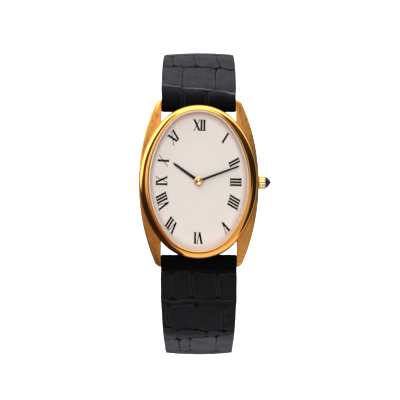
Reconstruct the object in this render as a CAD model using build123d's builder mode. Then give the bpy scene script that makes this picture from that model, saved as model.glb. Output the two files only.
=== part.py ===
from build123d import *
from math import asin, atan, atan2, cos, degrees, hypot, radians, sin
import os

# Oval dress watch with a hand-wound movement, on an unbuckled strap whose halves bend back
# and hang below the case. Millimetres. +Z points out of the dial, +Y to 12 o'clock and +X to the
# crown. The origin is the centre of the case back's outer face, on the hands' axis.

os.makedirs("parts", exist_ok=True)

# One overrun for every cut that runs out of its piece
overrun = 1.0

# Fits
running_fit = 0.05
seat_fit = 0.05
hand_gap = 0.2

# Case outline, half sizes of four-arc ovals; the end arcs' radius is the half width times
# this power of width over length, so it never passes the half width
oval_end_power = 0.727
opening_half_width = 11.5
opening_half_length = 16.3
bezel_band_side = 2.65
bezel_band_end = 1.8
body_inset_side = 0.45
body_inset_end = 1.0
cavity_margin_side = 0.4
cavity_margin_end = 0.3
flank_overhang = 0.13
lug_overhang = 1.95
lug_gap = 18.0
lug_tip_width = 1.0

# Case heights
back_plate = 0.5
back_flange_reach = 0.45
back_rim_height = 0.7
back_rim_wall = 0.6
case_height = 3.25
lug_tip_height = 2.1
lug_shoulder = 9.5
lug_tip_drop = 0.95
lug_fall_share = 0.33
bezel_height = 1.6
bezel_wall_height = 0.75
bezel_lip_height = 1.0
bezel_lip = 0.35
bezel_crest_inset = 1.15
bezel_crest_land = 0.25
crystal_edge = 0.55
crystal_dome = 0.65
crystal_slope = 2.6

# Strap ends and spring bars
bar_setback = 1.65
bar_height = 1.6
bar_radius = 0.75
bar_tip_radius = 0.4
bar_tip_length = 0.8
strap_side_gap = 0.15

# Movement heights
bridge_level = 0.95
bridge_thickness = 0.55
train_space = 0.95
plate_thickness = 0.75
keyless_recess = 0.42
plate_radius = 10.4
plate_wall = 0.55
stem_level = 2.2

# Wheels
wheel_thickness = 0.12
wheel_air = 0.06
rim_width = 0.45
spoke_width = 0.3
hub_radius = 0.6
fine_flat_number = 8
arbor_radius = 0.15
pivot_radius = 0.1
jewel_radius = 0.4
jewel_thickness = 0.2

# Bridges
bridge_split = -1.35
bridge_slit = 0.2
barrel_bridge_low = -2.9
train_bridge_low = -4.3
cock_width = 2.4
cock_direction = -60.0
pallet_bridge_width = 0.9
pallet_foot_distance = 1.7
screw_directions = (18.0, 75.0, 112.0, 150.0, 196.0, -85.0)

# Screws
screw_head_radius = 0.5
screw_head_height = 0.22
screw_shank_radius = 0.28
screw_length = 1.2
screw_fit = 0.03

# Tooth numbers and modules
barrel_teeth = 75
centre_pinion_teeth = 10
barrel_module = 0.12
centre_teeth = 64
third_pinion_teeth = 8
centre_module = 0.09
third_teeth = 60
fourth_pinion_teeth = 8
third_module = 0.09
fourth_teeth = 70
escape_pinion_teeth = 7
fourth_module = 0.08
escape_teeth = 15
escape_radius = 2.0
cannon_teeth = 10
minute_teeth = 30
minute_pinion_teeth = 8
hour_teeth = 32
motion_module = 0.12
setting_teeth = 18
winding_teeth = 12
crown_wheel_teeth = 24
ratchet_teeth = 40

# Shape of a tooth: its root's and tip's distance from the pitch circle, in modules
tooth_root_share = 1.15
tooth_tip_share = 0.95

# Directions on the plate, in degrees from +X
barrel_direction = 62.0
third_direction = 190.0
fourth_direction = 165.0
escape_direction = -80.0
balance_direction = -97.0
minute_direction = -25.0
setting_direction = 10.0
pallet_lever_distance = 6.4

# Balance and escapement
balance_radius = 3.2
balance_rim = 0.35
balance_height = 0.28
roller_radius = 0.5
lever_width = 0.28
pallet_reach_share = 1.155
fork_mouth = 0.32
arm_spread = 1.25
arm_back = 0.8
escape_root_share = 0.78
escape_hook_share = 0.3
hairspring_start = 0.5
hairspring_pitch = 0.3
hairspring_turn_number = 3
hairspring_width = 0.08
hairspring_height = 0.12

# Cannon pinion and hour wheel's pipe
cannon_wall = 0.15
pipe_wall = 0.18
motion_wall = 0.15

# Barrel
barrel_height = 0.66
barrel_tooth_height = 0.2
barrel_wall = 0.15
barrel_cover_height = 0.08
barrel_arbor_radius = 0.75
mainspring_pitch = 0.85
mainspring_turn_number = 3
mainspring_width = 0.14

# Keyless works
stem_radius = 0.4
stem_square = 0.5
stem_pilot_radius = 0.25
stem_inner_end = 4.6
stem_pilot_length = 0.8
winding_pinion_radius = 0.9
winding_pinion_length = 1.1
winding_pinion_outer = 8.8
clutch_radius = 0.72
clutch_length = 1.0
clutch_gap = 0.05
clutch_groove_depth = 0.22
clutch_groove_width = 0.3
lever_groove_place = 9.1
lever_groove_width = 0.3
crown_wheel_reach = 2.2
crown_wheel_height = 0.5
ratchet_height = 0.22
crown_pull_travel = 0.8
lever_thickness = 0.16
lever_head = 0.4
lever_post = 0.15
setting_lever_drop = 1.3
yoke_pivot = (5.4, 2.3)
yoke_direction = -45.0
yoke_length = 2.65
click_head = 0.55
click_direction = 120.0

# Crown
crown_gap = 0.17
crown_length = 1.5
crown_radius = 1.75
crown_flute_number = 24
crown_flute_depth = 0.14
crown_edge = 0.18
cabochon_radius = 1.3
cabochon_length = 1.25
cabochon_girdle = 0.3
tube_radius = 0.85
tube_bore = 0.5
tube_length = 2.0

# Dial and hands
dial_thickness = 0.45
dial_margin = 0.3
hour_hand_length = 7.46
hour_hand_width = 0.62
minute_hand_length = 10.34
minute_hand_width = 0.5
hand_thickness = 0.13
hour_angle = 54.2
minute_angle = -69.5
tip_share = 0.7
hub_cap_radius = 1.0
hub_cap_height = 0.25

# Strap, seen from the side: runs and bends from the spring bar to the free end
strap_outer_thickness = 1.15
strap_lining_thickness = 0.85
strap_roll_radius = 1.15
strap_lead = 3.0
strap_lead_drop = 12.0
strap_end_width = 16.0
strap_taper_start = 10.0
strap_straight_end = 15.0
short_radii = (16.6, 60.0)
short_turns = (60.0, 17.0)
short_run = 34.0
long_radii = (22.6, 70.0)
long_turns = (78.0, 18.0)
long_run = 62.0
tail_nose_length = 7.0
tail_bulge_share = 0.75
hole_radius = 0.9
hole_pitch = 6.0
hole_number = 5
first_hole = 14.0
lining_start = 1.35

# Buckle and keepers
buckle_bar_radius = 0.75
buckle_side = 1.2
buckle_side_gap = 0.3
buckle_length = 7.2
buckle_front = 1.5
buckle_thickness = 1.3
buckle_corner = 2.2
tongue_width = 1.6
tongue_thickness = 0.8
tongue_slot_gap = 0.3
tongue_slot_reach = 3.45
tongue_ring = 0.5
keeper_wall = 0.9
keeper_width = 4.5
keeper_gap = 0.3
keeper_room = 1.7
fixed_keeper_place = 4.8
free_keeper_place = 10.9

# Outlines that follow from the sizes above
bezel_half_width = opening_half_width + bezel_band_side
bezel_half_length = opening_half_length + bezel_band_end
body_half_width = bezel_half_width - body_inset_side
body_half_length = bezel_half_length - body_inset_end
cavity_half_width = opening_half_width + cavity_margin_side
cavity_half_length = opening_half_length + cavity_margin_end
flank_half_width = bezel_half_width + flank_overhang
lug_reach = bezel_half_length + lug_overhang
lug_tip_half_width = lug_gap / 2 + lug_tip_width
bar_reach = lug_reach - bar_setback
crown_start = flank_half_width + crown_gap

# Levels and places that follow from the sizes above
case_bottom = back_plate
case_top = case_bottom + case_height
bezel_top = case_top + bezel_height
crystal_seat = case_top + bezel_lip_height
ring_bottom = case_bottom + back_rim_height
bridge_top = bridge_level + bridge_thickness
plate_bottom = bridge_top + train_space
dial_seat = plate_bottom + plate_thickness
recess_level = dial_seat - keyless_recess
level_centre = bridge_top + wheel_air
level_third = level_centre + wheel_thickness + wheel_air
level_fourth = level_third + wheel_thickness + wheel_air
level_escape = level_fourth + wheel_thickness + wheel_air
hour_hand_level = dial_seat + dial_thickness + hand_gap
minute_hand_level = hour_hand_level + hand_thickness + hand_gap
ratchet_level = bridge_level - ratchet_height
cannon_bore = arbor_radius + pivot_radius


def polar(distance, direction, start=(0, 0)):
    """A place at a distance and direction, in degrees, from a start."""
    turn = radians(direction)
    return (start[0] + distance * cos(turn), start[1] + distance * sin(turn))


def bearing(start, end):
    """The direction, in degrees, from one place to another."""
    return degrees(atan2(end[1] - start[1], end[0] - start[0]))


def flat(place, level):
    """A horizontal plane through a place at a level."""
    return Plane(origin=(place[0], place[1], level))


def oval(half_width, half_length):
    """An oval of four arcs, longer towards 12 and 6 o'clock."""
    end_radius = half_width * (half_width / half_length) ** oval_end_power
    end_centre = half_length - end_radius
    side_radius = (half_width**2 + end_centre**2 - end_radius**2) / (half_width - end_radius) / 2
    join_angle = degrees(atan2(end_centre, side_radius - half_width))
    with BuildSketch() as outline:
        with BuildLine():
            for sign, middle in ((1, 0), (-1, 180)):
                CenterArc((sign * (half_width - side_radius), 0), side_radius,
                          middle - join_angle, 2 * join_angle)
                CenterArc((0, sign * end_centre), end_radius,
                          middle + join_angle, 180 - 2 * join_angle)
        make_face()
    return outline.sketch


def toothed(teeth, module, first):
    """Corner points of a ring of pointed teeth, one of them at the angle first."""
    pitch = 360 / teeth
    root = module * (teeth / 2 - tooth_root_share)
    tip = module * (teeth / 2 + tooth_tip_share)
    points = []
    for number in range(teeth):
        points.append(polar(tip, first + number * pitch))
        points.append(polar(root, first + (number + 1 / 2) * pitch))
    return points


def meshed(own_place, own_teeth, other_place):
    """The first tooth's angle that turns a gap towards a wheel with a tooth on the line."""
    return bearing(own_place, other_place) + 180 / own_teeth


def save(part, name):
    """Label a finished piece and write it."""
    part.label = name
    export_step(part, f"parts/{name}.step")


# Place of the setting lever, whose pin swings evenly to both sides of its pivot
setting_lever_pivot = (
    lever_groove_place + (lever_groove_width + crown_pull_travel) / 2, setting_lever_drop
)
setting_pin = (lever_groove_place + lever_groove_width / 2, 0)

# Places of the bridges' screws, on the main plate's wall
screw_places = [polar(plate_radius - plate_wall / 2 - screw_shank_radius, direction)
                for direction in screw_directions]

# Places of the train
centre_place = (0, 0)
barrel_distance = barrel_module * (barrel_teeth + centre_pinion_teeth) / 2
barrel_place = polar(barrel_distance, barrel_direction)
third_distance = centre_module * (centre_teeth + third_pinion_teeth) / 2
third_place = polar(third_distance, third_direction)
fourth_distance = third_module * (third_teeth + fourth_pinion_teeth) / 2
fourth_place = polar(fourth_distance, fourth_direction, third_place)
escape_distance = fourth_module * (fourth_teeth + escape_pinion_teeth) / 2
escape_place = polar(escape_distance, escape_direction, fourth_place)
balance_place = polar(pallet_lever_distance, balance_direction)
pallet_place = polar(
    escape_radius * pallet_reach_share, bearing(escape_place, balance_place), escape_place
)
minute_distance = motion_module * (cannon_teeth + minute_teeth) / 2
minute_place = polar(minute_distance, minute_direction)
setting_distance = motion_module * (minute_teeth + setting_teeth) / 2
setting_place = polar(setting_distance, setting_direction, minute_place)
crown_wheel_place = (winding_pinion_outer - winding_pinion_length / 2 - crown_wheel_reach, 0)
ratchet_module = (
    2
    * hypot(barrel_place[0] - crown_wheel_place[0], barrel_place[1] - crown_wheel_place[1])
    / (ratchet_teeth + crown_wheel_teeth)
)

# Place of the click, whose nose points at the ratchet wheel
click_pivot = polar(
    ratchet_module * (ratchet_teeth / 2 + tooth_tip_share) + 2 * click_head + running_fit,
    click_direction,
    barrel_place,
)


# Case middle: an oval body whose long side wings run on past it and form the lugs
with BuildPart() as case_middle:
    with BuildSketch(Plane.XY.offset(case_bottom)):
        with BuildLine():
            for sign in (1, -1):
                ThreePointArc((sign * lug_tip_half_width, lug_reach), (sign * flank_half_width, 0),
                              (sign * lug_tip_half_width, -lug_reach))
                Line((-lug_tip_half_width, sign * lug_reach), (lug_tip_half_width, sign * lug_reach))
        make_face()
        with Locations((0, lug_reach), (0, -lug_reach)):
            Rectangle(lug_gap, 2 * (lug_reach - bar_reach / 2), mode=Mode.SUBTRACT)
    extrude(amount=case_height)
    # The top falls away to the lug tips
    with BuildSketch(Plane.YZ) as side:
        with BuildLine():
            Polyline(
                (-lug_reach, case_bottom),
                (lug_reach, case_bottom),
                (lug_reach, case_top - lug_tip_drop),
            )
            ThreePointArc(
                (lug_reach, case_top - lug_tip_drop),
                ((lug_reach + lug_shoulder) / 2, case_top - lug_fall_share * lug_tip_drop),
                (lug_shoulder, case_top),
            )
            Line((lug_shoulder, case_top), (-lug_shoulder, case_top))
            ThreePointArc(
                (-lug_shoulder, case_top),
                (-(lug_reach + lug_shoulder) / 2, case_top - lug_fall_share * lug_tip_drop),
                (-lug_reach, case_top - lug_tip_drop),
            )
            Line((-lug_reach, case_top - lug_tip_drop), (-lug_reach, case_bottom))
        make_face()
    extrude(amount=flank_half_width, both=True, mode=Mode.INTERSECT)
    # The body between the lugs keeps its full height under the bezel
    with BuildSketch(Plane.XY.offset(case_bottom)):
        add(oval(body_half_width, body_half_length))
    extrude(amount=case_height)
    with BuildSketch(Plane.XY.offset(case_bottom)):
        add(oval(cavity_half_width, cavity_half_length))
    extrude(amount=case_height, mode=Mode.SUBTRACT)
    # Blind holes for the spring bars' tips
    for side_sign in (1, -1):
        for end_sign in (1, -1):
            with BuildSketch(
                Plane(origin=(side_sign * lug_gap / 2, end_sign * bar_reach, bar_height),
                      z_dir=(side_sign, 0, 0))
            ):
                RegularPolygon(bar_tip_radius + running_fit, fine_flat_number)
            extrude(amount=bar_tip_length + running_fit, mode=Mode.SUBTRACT)
    # Bore for the crown's tube
    with BuildSketch(Plane(origin=(cavity_half_width - overrun, 0, stem_level), z_dir=(1, 0, 0))):
        RegularPolygon(tube_radius, 2 * fine_flat_number)
    extrude(amount=flank_half_width, mode=Mode.SUBTRACT)
save(case_middle.part, "case_middle")

# Bezel: a polished dome over the case, with a low lip round the dial that holds the crystal
with BuildPart() as bezel:
    with BuildSketch(Plane.XY.offset(case_top)):
        add(oval(bezel_half_width, bezel_half_length))
    extrude(amount=bezel_wall_height)
    bezel_slope_height = bezel_height - bezel_wall_height
    with BuildSketch(Plane.XY.offset(case_top + bezel_wall_height)):
        add(oval(bezel_half_width, bezel_half_length))
    extrude(amount=bezel_slope_height, taper=degrees(atan(bezel_crest_inset / bezel_slope_height)))
    # The inner slope falls from the crest to the lip round the crystal
    with BuildSketch(Plane.XY.offset(crystal_seat)):
        add(oval(opening_half_width + bezel_lip, opening_half_length + bezel_lip))
    with BuildSketch(Plane.XY.offset(bezel_top)):
        crest_inner = bezel_crest_inset + bezel_crest_land
        add(oval(bezel_half_width - crest_inner, bezel_half_length - crest_inner))
    loft(ruled=True, mode=Mode.SUBTRACT)
    with BuildSketch(Plane.XY.offset(case_top)):
        add(oval(opening_half_width, opening_half_length))
    extrude(amount=bezel_height, mode=Mode.SUBTRACT)
save(bezel.part, "bezel")

# Crystal: an oval plate whose rim slopes up to a flat top
with BuildPart() as crystal:
    with BuildSketch(Plane.XY.offset(crystal_seat)):
        add(oval(opening_half_width + bezel_lip, opening_half_length + bezel_lip))
    extrude(amount=crystal_edge)
    with BuildSketch(Plane.XY.offset(crystal_seat + crystal_edge)):
        add(oval(opening_half_width + bezel_lip, opening_half_length + bezel_lip))
    extrude(amount=crystal_dome, taper=degrees(atan(crystal_slope / crystal_dome)))
save(crystal.part, "crystal")

# Case back: an oval plate with a rim that snaps into the case
with BuildPart() as case_back:
    with BuildSketch():
        add(oval(cavity_half_width + back_flange_reach, cavity_half_length + back_flange_reach))
    extrude(amount=back_plate)
    with BuildSketch(Plane.XY.offset(back_plate)):
        add(oval(cavity_half_width - seat_fit, cavity_half_length - seat_fit))
        add(oval(cavity_half_width - back_rim_wall, cavity_half_length - back_rim_wall),
            mode=Mode.SUBTRACT)
    extrude(amount=back_rim_height)
save(case_back.part, "case_back")

# Movement ring: fills the oval case round the round movement
with BuildPart() as movement_ring:
    with BuildSketch(Plane.XY.offset(ring_bottom)):
        add(oval(cavity_half_width - seat_fit, cavity_half_length - seat_fit))
        Circle(plate_radius + seat_fit, mode=Mode.SUBTRACT)
    extrude(amount=dial_seat - ring_bottom)
    with BuildSketch(Plane(origin=(plate_radius - overrun, 0, stem_level), z_dir=(1, 0, 0))):
        RegularPolygon(tube_radius, fine_flat_number)
    extrude(amount=cavity_half_width, mode=Mode.SUBTRACT)
save(movement_ring.part, "movement_ring")

# Dial: an oval plate that rests on the movement and its ring
with BuildPart() as dial:
    with BuildSketch(Plane.XY.offset(dial_seat)):
        add(oval(opening_half_width + dial_margin, opening_half_length + dial_margin / 2))
        RegularPolygon(hub_cap_radius, 2 * fine_flat_number, mode=Mode.SUBTRACT)
    extrude(amount=dial_thickness)
save(dial.part, "dial")

# Main plate: a cup whose wall carries the bridges, recessed under the dial for the
# motion works, with a window where the stem's pinions turn
with BuildPart() as main_plate:
    with BuildSketch(Plane.XY.offset(bridge_top)):
        Circle(plate_radius)
        Circle(plate_radius - plate_wall, mode=Mode.SUBTRACT)
    extrude(amount=train_space)
    with BuildSketch(Plane.XY.offset(plate_bottom)):
        Circle(plate_radius)
    extrude(amount=plate_thickness)
    # Motion works' recess, open towards the dial
    with BuildSketch(Plane.XY.offset(recess_level)):
        Circle(motion_module * (hour_teeth / 2 + 1) + motion_wall)
        with Locations(minute_place):
            Circle(motion_module * (minute_teeth / 2 + 1) + motion_wall)
        with Locations(setting_place):
            Circle(motion_module * (setting_teeth / 2 + 1) + motion_wall)
        with Locations((yoke_pivot[0] - lever_head - motion_wall, -clutch_radius)):
            Rectangle(
                plate_radius,
                yoke_pivot[1] + clutch_radius + lever_head + motion_wall,
                align=(Align.MIN, Align.MIN),
            )
        with Locations(yoke_pivot, setting_lever_pivot):
            RegularPolygon(lever_post, fine_flat_number, mode=Mode.SUBTRACT)
    extrude(amount=keyless_recess, mode=Mode.SUBTRACT)
    # Slot for the setting lever's pin
    with BuildSketch(Plane.XY.offset(plate_bottom)):
        with Locations((lever_groove_place, 0)):
            Rectangle(plate_radius, lever_groove_width, align=(Align.MIN, Align.CENTER))
    extrude(amount=plate_thickness, mode=Mode.SUBTRACT)
    # Window for the clutch and the winding pinion
    window_end = winding_pinion_outer + running_fit
    window_start = winding_pinion_outer - winding_pinion_length - 2 * clutch_length - clutch_gap
    with BuildSketch(Plane.XY.offset(plate_bottom)):
        with Locations(((window_start + window_end) / 2, 0)):
            Rectangle(window_end - window_start, 2 * (winding_pinion_radius + running_fit))
    extrude(amount=plate_thickness, mode=Mode.SUBTRACT)
    # Channel for the stem
    with BuildSketch(Plane(origin=(stem_inner_end - running_fit, 0, stem_level), z_dir=(1, 0, 0))):
        Circle(stem_radius + running_fit)
    extrude(amount=plate_radius, mode=Mode.SUBTRACT)
    # Bores for the centre arbor and the other pivots
    with BuildSketch(Plane.XY.offset(plate_bottom)):
        RegularPolygon(cannon_bore + 2 * running_fit, fine_flat_number)
        with Locations(barrel_place):
            RegularPolygon(barrel_arbor_radius / 2 + 2 * running_fit, fine_flat_number)
        with Locations(third_place, fourth_place, escape_place, pallet_place, balance_place,
                       minute_place):
            RegularPolygon(arbor_radius + 2 * running_fit, fine_flat_number)
    extrude(amount=plate_thickness, mode=Mode.SUBTRACT)
    # Holes for the bridges' screws
    with BuildSketch(Plane.XY.offset(bridge_top)):
        with Locations(screw_places):
            RegularPolygon(screw_shank_radius + screw_fit, fine_flat_number)
    extrude(amount=bridge_level + screw_length - bridge_top, mode=Mode.SUBTRACT)
save(main_plate.part, "main_plate")

# Bridges: plates cut from the movement's round outline, seated on the main plate's wall
with BuildPart() as barrel_bridge:
    with BuildSketch(Plane.XY.offset(bridge_level)):
        Circle(plate_radius)
        with Locations((bridge_split, barrel_bridge_low)):
            Rectangle(
                2 * plate_radius, 2 * plate_radius, align=(Align.MIN, Align.MIN), mode=Mode.INTERSECT
            )
        RegularPolygon(jewel_radius, fine_flat_number, mode=Mode.SUBTRACT)
        with Locations(barrel_place):
            RegularPolygon(
                barrel_arbor_radius / 2 + 2 * running_fit, fine_flat_number, mode=Mode.SUBTRACT
            )
        with Locations(screw_places):
            RegularPolygon(screw_shank_radius + screw_fit, fine_flat_number, mode=Mode.SUBTRACT)
    extrude(amount=bridge_thickness)
    # The crown wheel reaches the winding pinion through a window
    with BuildSketch(Plane.XY.offset(bridge_level)):
        with Locations(crown_wheel_place):
            Circle(ratchet_module * (crown_wheel_teeth / 2 + 1) + running_fit)
            Circle(hub_radius, mode=Mode.SUBTRACT)
    extrude(amount=crown_wheel_height - ratchet_height + running_fit, mode=Mode.SUBTRACT)
    with BuildSketch(Plane(origin=(window_start, 0, stem_level), z_dir=(1, 0, 0))):
        Circle(winding_pinion_radius + running_fit)
    extrude(amount=window_end - window_start, mode=Mode.SUBTRACT)
    # Post of the click
    with BuildSketch(flat(click_pivot, ratchet_level)):
        RegularPolygon(lever_post, fine_flat_number)
    extrude(amount=ratchet_height)
save(barrel_bridge.part, "barrel_bridge")

with BuildPart() as train_bridge:
    with BuildSketch(Plane.XY.offset(bridge_level)):
        Circle(plate_radius)
        with Locations((bridge_split - bridge_slit, train_bridge_low)):
            Rectangle(
                2 * plate_radius, 2 * plate_radius, align=(Align.MAX, Align.MIN), mode=Mode.INTERSECT
            )
        with Locations(third_place, fourth_place, escape_place):
            RegularPolygon(jewel_radius, fine_flat_number, mode=Mode.SUBTRACT)
        with Locations(screw_places):
            RegularPolygon(screw_shank_radius + screw_fit, fine_flat_number, mode=Mode.SUBTRACT)
    extrude(amount=bridge_thickness)
save(train_bridge.part, "train_bridge")

with BuildPart() as balance_cock:
    with BuildSketch(flat(balance_place, bridge_level)):
        Circle(cock_width / 2)
        with Locations(Location((0, 0, 0), (0, 0, cock_direction))):
            Rectangle(plate_radius, cock_width, align=(Align.MIN, Align.CENTER))
        RegularPolygon(jewel_radius, fine_flat_number, mode=Mode.SUBTRACT)
    extrude(amount=bridge_thickness)
    with BuildSketch(Plane.XY.offset(bridge_level)):
        Circle(plate_radius)
        with Locations(screw_places):
            RegularPolygon(screw_shank_radius + screw_fit, fine_flat_number, mode=Mode.SUBTRACT)
    extrude(amount=bridge_thickness, mode=Mode.INTERSECT)
save(balance_cock.part, "balance_cock")

# Pallet bridge: a bar under the balance, on two feet that stand on the main plate
pallet_direction = bearing(escape_place, balance_place)
with BuildPart() as pallet_bridge:
    with BuildSketch(flat(pallet_place, level_fourth)):
        with Locations(Location((0, 0, 0), (0, 0, pallet_direction + 90))):
            Rectangle(2 * pallet_foot_distance + pallet_bridge_width, pallet_bridge_width)
        RegularPolygon(arbor_radius + running_fit, fine_flat_number, mode=Mode.SUBTRACT)
    extrude(amount=wheel_thickness)
    with BuildSketch(flat(pallet_place, level_fourth + wheel_thickness)):
        with PolarLocations(pallet_foot_distance, 2, start_angle=pallet_direction + 90):
            Rectangle(pallet_bridge_width / 2, pallet_bridge_width)
    extrude(amount=plate_bottom - level_fourth - wheel_thickness)
save(pallet_bridge.part, "pallet_bridge")

# Jewels: cap jewels in the bridges' bearing holes
jewel_places = (third_place, fourth_place, escape_place, balance_place, centre_place)
with BuildPart() as jewels:
    for place in jewel_places:
        with BuildSketch(flat(place, bridge_level)):
            RegularPolygon(jewel_radius, fine_flat_number)
        extrude(amount=jewel_thickness)
save(jewels.part, "jewels")


def arbor(place, bottom, top, radius):
    """A round length of an arbor."""
    with BuildPart() as length:
        with BuildSketch(flat(place, bottom)):
            Circle(radius)
        extrude(amount=top - bottom)
    return length.part


def spokes(number, inner, outer):
    """Corner points of the windows that leave a wheel's spokes standing."""
    windows = []
    for spoke in range(number):
        corners = []
        for radius, side in ((inner, -1), (outer, -1), (outer, 1), (inner, 1)):
            half = 180 / number - degrees(asin(spoke_width / 2 / radius))
            corners.append(polar(radius, (spoke + 1 / 2) * 360 / number + side * half))
        windows.append(corners)
    return windows


def wheel(place, teeth, module, first, bottom, height):
    """A toothed wheel with a rim, four spokes and a hub."""
    with BuildPart() as blank:
        with BuildSketch(flat(place, bottom)):
            Polygon(*toothed(teeth, module, first), align=None)
            inner = module * (teeth / 2 - tooth_root_share) - rim_width
            for window in spokes(4, hub_radius, inner):
                Polygon(*window, align=None, mode=Mode.SUBTRACT)
        extrude(amount=height)
    return blank.part


def pinion(place, teeth, module, first, bottom, height):
    """A solid pinion."""
    with BuildPart() as blank:
        with BuildSketch(flat(place, bottom)):
            Polygon(*toothed(teeth, module, first), align=None)
        extrude(amount=height)
    return blank.part


pivot_low = bridge_level + jewel_thickness
pivot_high = plate_bottom + jewel_thickness

# Barrel: a toothed drum with the mainspring inside, its cover and its arbor
barrel_level = level_third
drum_radius = barrel_module * (barrel_teeth / 2 - 3)
with BuildPart() as barrel:
    barrel_first = bearing(barrel_place, centre_place)
    with BuildSketch(flat(barrel_place, barrel_level)):
        Polygon(*toothed(barrel_teeth, barrel_module, barrel_first), align=None)
    extrude(amount=barrel_tooth_height)
    with BuildSketch(flat(barrel_place, barrel_level + barrel_tooth_height)):
        Circle(drum_radius)
    extrude(amount=barrel_height - barrel_tooth_height)
    with BuildSketch(flat(barrel_place, barrel_level + barrel_wall)):
        Circle(drum_radius - barrel_wall)
    extrude(amount=barrel_height, mode=Mode.SUBTRACT)
    with BuildSketch(flat(barrel_place, barrel_level)):
        RegularPolygon(barrel_arbor_radius / 2 + 2 * running_fit, fine_flat_number)
    extrude(amount=barrel_height, mode=Mode.SUBTRACT)
save(barrel.part, "barrel")

with BuildPart() as barrel_cover:
    with BuildSketch(flat(barrel_place, barrel_level + barrel_height - barrel_cover_height)):
        Circle(drum_radius - barrel_wall)
        RegularPolygon(barrel_arbor_radius / 2 + 2 * running_fit, fine_flat_number, mode=Mode.SUBTRACT)
    extrude(amount=barrel_cover_height)
save(barrel_cover.part, "barrel_cover")


def spiral(place, bottom, height, start, pitch, turn_number, width):
    """A flat spring that winds outwards by one pitch a turn."""
    step_number = 2 * fine_flat_number
    near = []
    far = []
    for step in range(step_number * turn_number + 1):
        radius = start + pitch * step / step_number
        near.append(polar(radius - width / 2, 360 * step / step_number))
        far.append(polar(radius + width / 2, 360 * step / step_number))
    with BuildPart() as coil:
        with BuildSketch(flat(place, bottom)):
            Polygon(*near, *reversed(far), align=None)
        extrude(amount=height)
    return coil.part


with BuildPart() as mainspring:
    add(
        spiral(
            barrel_place,
            barrel_level + barrel_wall,
            barrel_height - barrel_wall - barrel_cover_height - wheel_air / 2,
            barrel_arbor_radius + mainspring_width,
            mainspring_pitch,
            mainspring_turn_number,
            mainspring_width,
        )
    )
save(mainspring.part, "mainspring")

with BuildPart() as barrel_arbor:
    add(arbor(barrel_place, ratchet_level, pivot_high, barrel_arbor_radius / 2))
    add(
        arbor(
            barrel_place,
            barrel_level + barrel_wall,
            barrel_level + barrel_height - barrel_cover_height,
            barrel_arbor_radius,
        )
    )
save(barrel_arbor.part, "barrel_arbor")

# Centre wheel: driven by the barrel, its long arbor carries the cannon pinion
with BuildPart() as centre_wheel:
    add(wheel(centre_place, centre_teeth, centre_module, bearing(centre_place, third_place),
              level_centre, wheel_thickness))
    add(pinion(centre_place, centre_pinion_teeth, barrel_module,
               meshed(centre_place, centre_pinion_teeth, barrel_place),
               barrel_level, barrel_tooth_height))
    add(arbor(centre_place, pivot_low, minute_hand_level - hand_gap, cannon_bore))
save(centre_wheel.part, "centre_wheel")

with BuildPart() as third_wheel:
    add(wheel(third_place, third_teeth, third_module, bearing(third_place, fourth_place),
              level_third, wheel_thickness))
    add(pinion(third_place, third_pinion_teeth, centre_module,
               meshed(third_place, third_pinion_teeth, centre_place),
               level_centre, wheel_thickness + wheel_air))
    add(arbor(third_place, pivot_low, pivot_high, arbor_radius))
save(third_wheel.part, "third_wheel")

with BuildPart() as fourth_wheel:
    add(wheel(fourth_place, fourth_teeth, fourth_module, bearing(fourth_place, escape_place),
              level_fourth, wheel_thickness))
    add(pinion(fourth_place, fourth_pinion_teeth, third_module,
               meshed(fourth_place, fourth_pinion_teeth, third_place),
               level_third, wheel_thickness + wheel_air))
    add(arbor(fourth_place, pivot_low, pivot_high, arbor_radius))
save(fourth_wheel.part, "fourth_wheel")

# Escape wheel: fifteen hooked teeth on a thin rim
with BuildPart() as escape_wheel:
    with BuildSketch(flat(escape_place, level_escape)):
        hooks = []
        for number in range(escape_teeth):
            turn = (number + 1 / 2) * 360 / escape_teeth + pallet_direction
            hooks.append(polar(escape_radius * escape_root_share, turn))
            hooks.append(polar(escape_radius, turn + escape_hook_share * 360 / escape_teeth))
            hooks.append(
                polar(
                    escape_radius * escape_root_share,
                    turn + escape_hook_share * 360 / escape_teeth,
                )
            )
        Polygon(*hooks, align=None)
        inner = escape_radius * escape_root_share - spoke_width
        for window in spokes(4, hub_radius, inner):
            Polygon(*window, align=None, mode=Mode.SUBTRACT)
    extrude(amount=wheel_thickness)
    add(pinion(escape_place, escape_pinion_teeth, fourth_module,
               meshed(escape_place, escape_pinion_teeth, fourth_place),
               level_fourth, wheel_thickness + wheel_air))
    add(arbor(escape_place, pivot_low, pivot_high, arbor_radius))
save(escape_wheel.part, "escape_wheel")

# Pallet fork: two arms over the escape wheel and a lever that ends in a fork at the roller
lever_reach = hypot(balance_place[0] - pallet_place[0], balance_place[1] - pallet_place[1])
with BuildPart() as pallet_fork:
    with BuildSketch(flat(pallet_place, level_escape)):
        with Locations(Location((0, 0, 0), (0, 0, pallet_direction))):
            Rectangle(lever_reach - roller_radius, lever_width, align=(Align.MIN, Align.CENTER))
            Rectangle(lever_width, 2 * arm_spread + lever_width)
            for arm_sign in (1, -1):
                with Locations((0, arm_sign * arm_spread)):
                    Rectangle(arm_back, lever_width, align=(Align.MAX, Align.CENTER))
            with Locations((lever_reach - roller_radius, 0)):
                Rectangle(lever_width, 2 * fork_mouth + lever_width)
            for arm_sign in (1, -1):
                with Locations((lever_reach - roller_radius, arm_sign * fork_mouth)):
                    Rectangle(roller_radius, lever_width, align=(Align.MIN, Align.CENTER))
    extrude(amount=wheel_thickness)
    add(arbor(pallet_place, level_fourth, pivot_high, arbor_radius))
save(pallet_fork.part, "pallet_fork")

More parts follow.
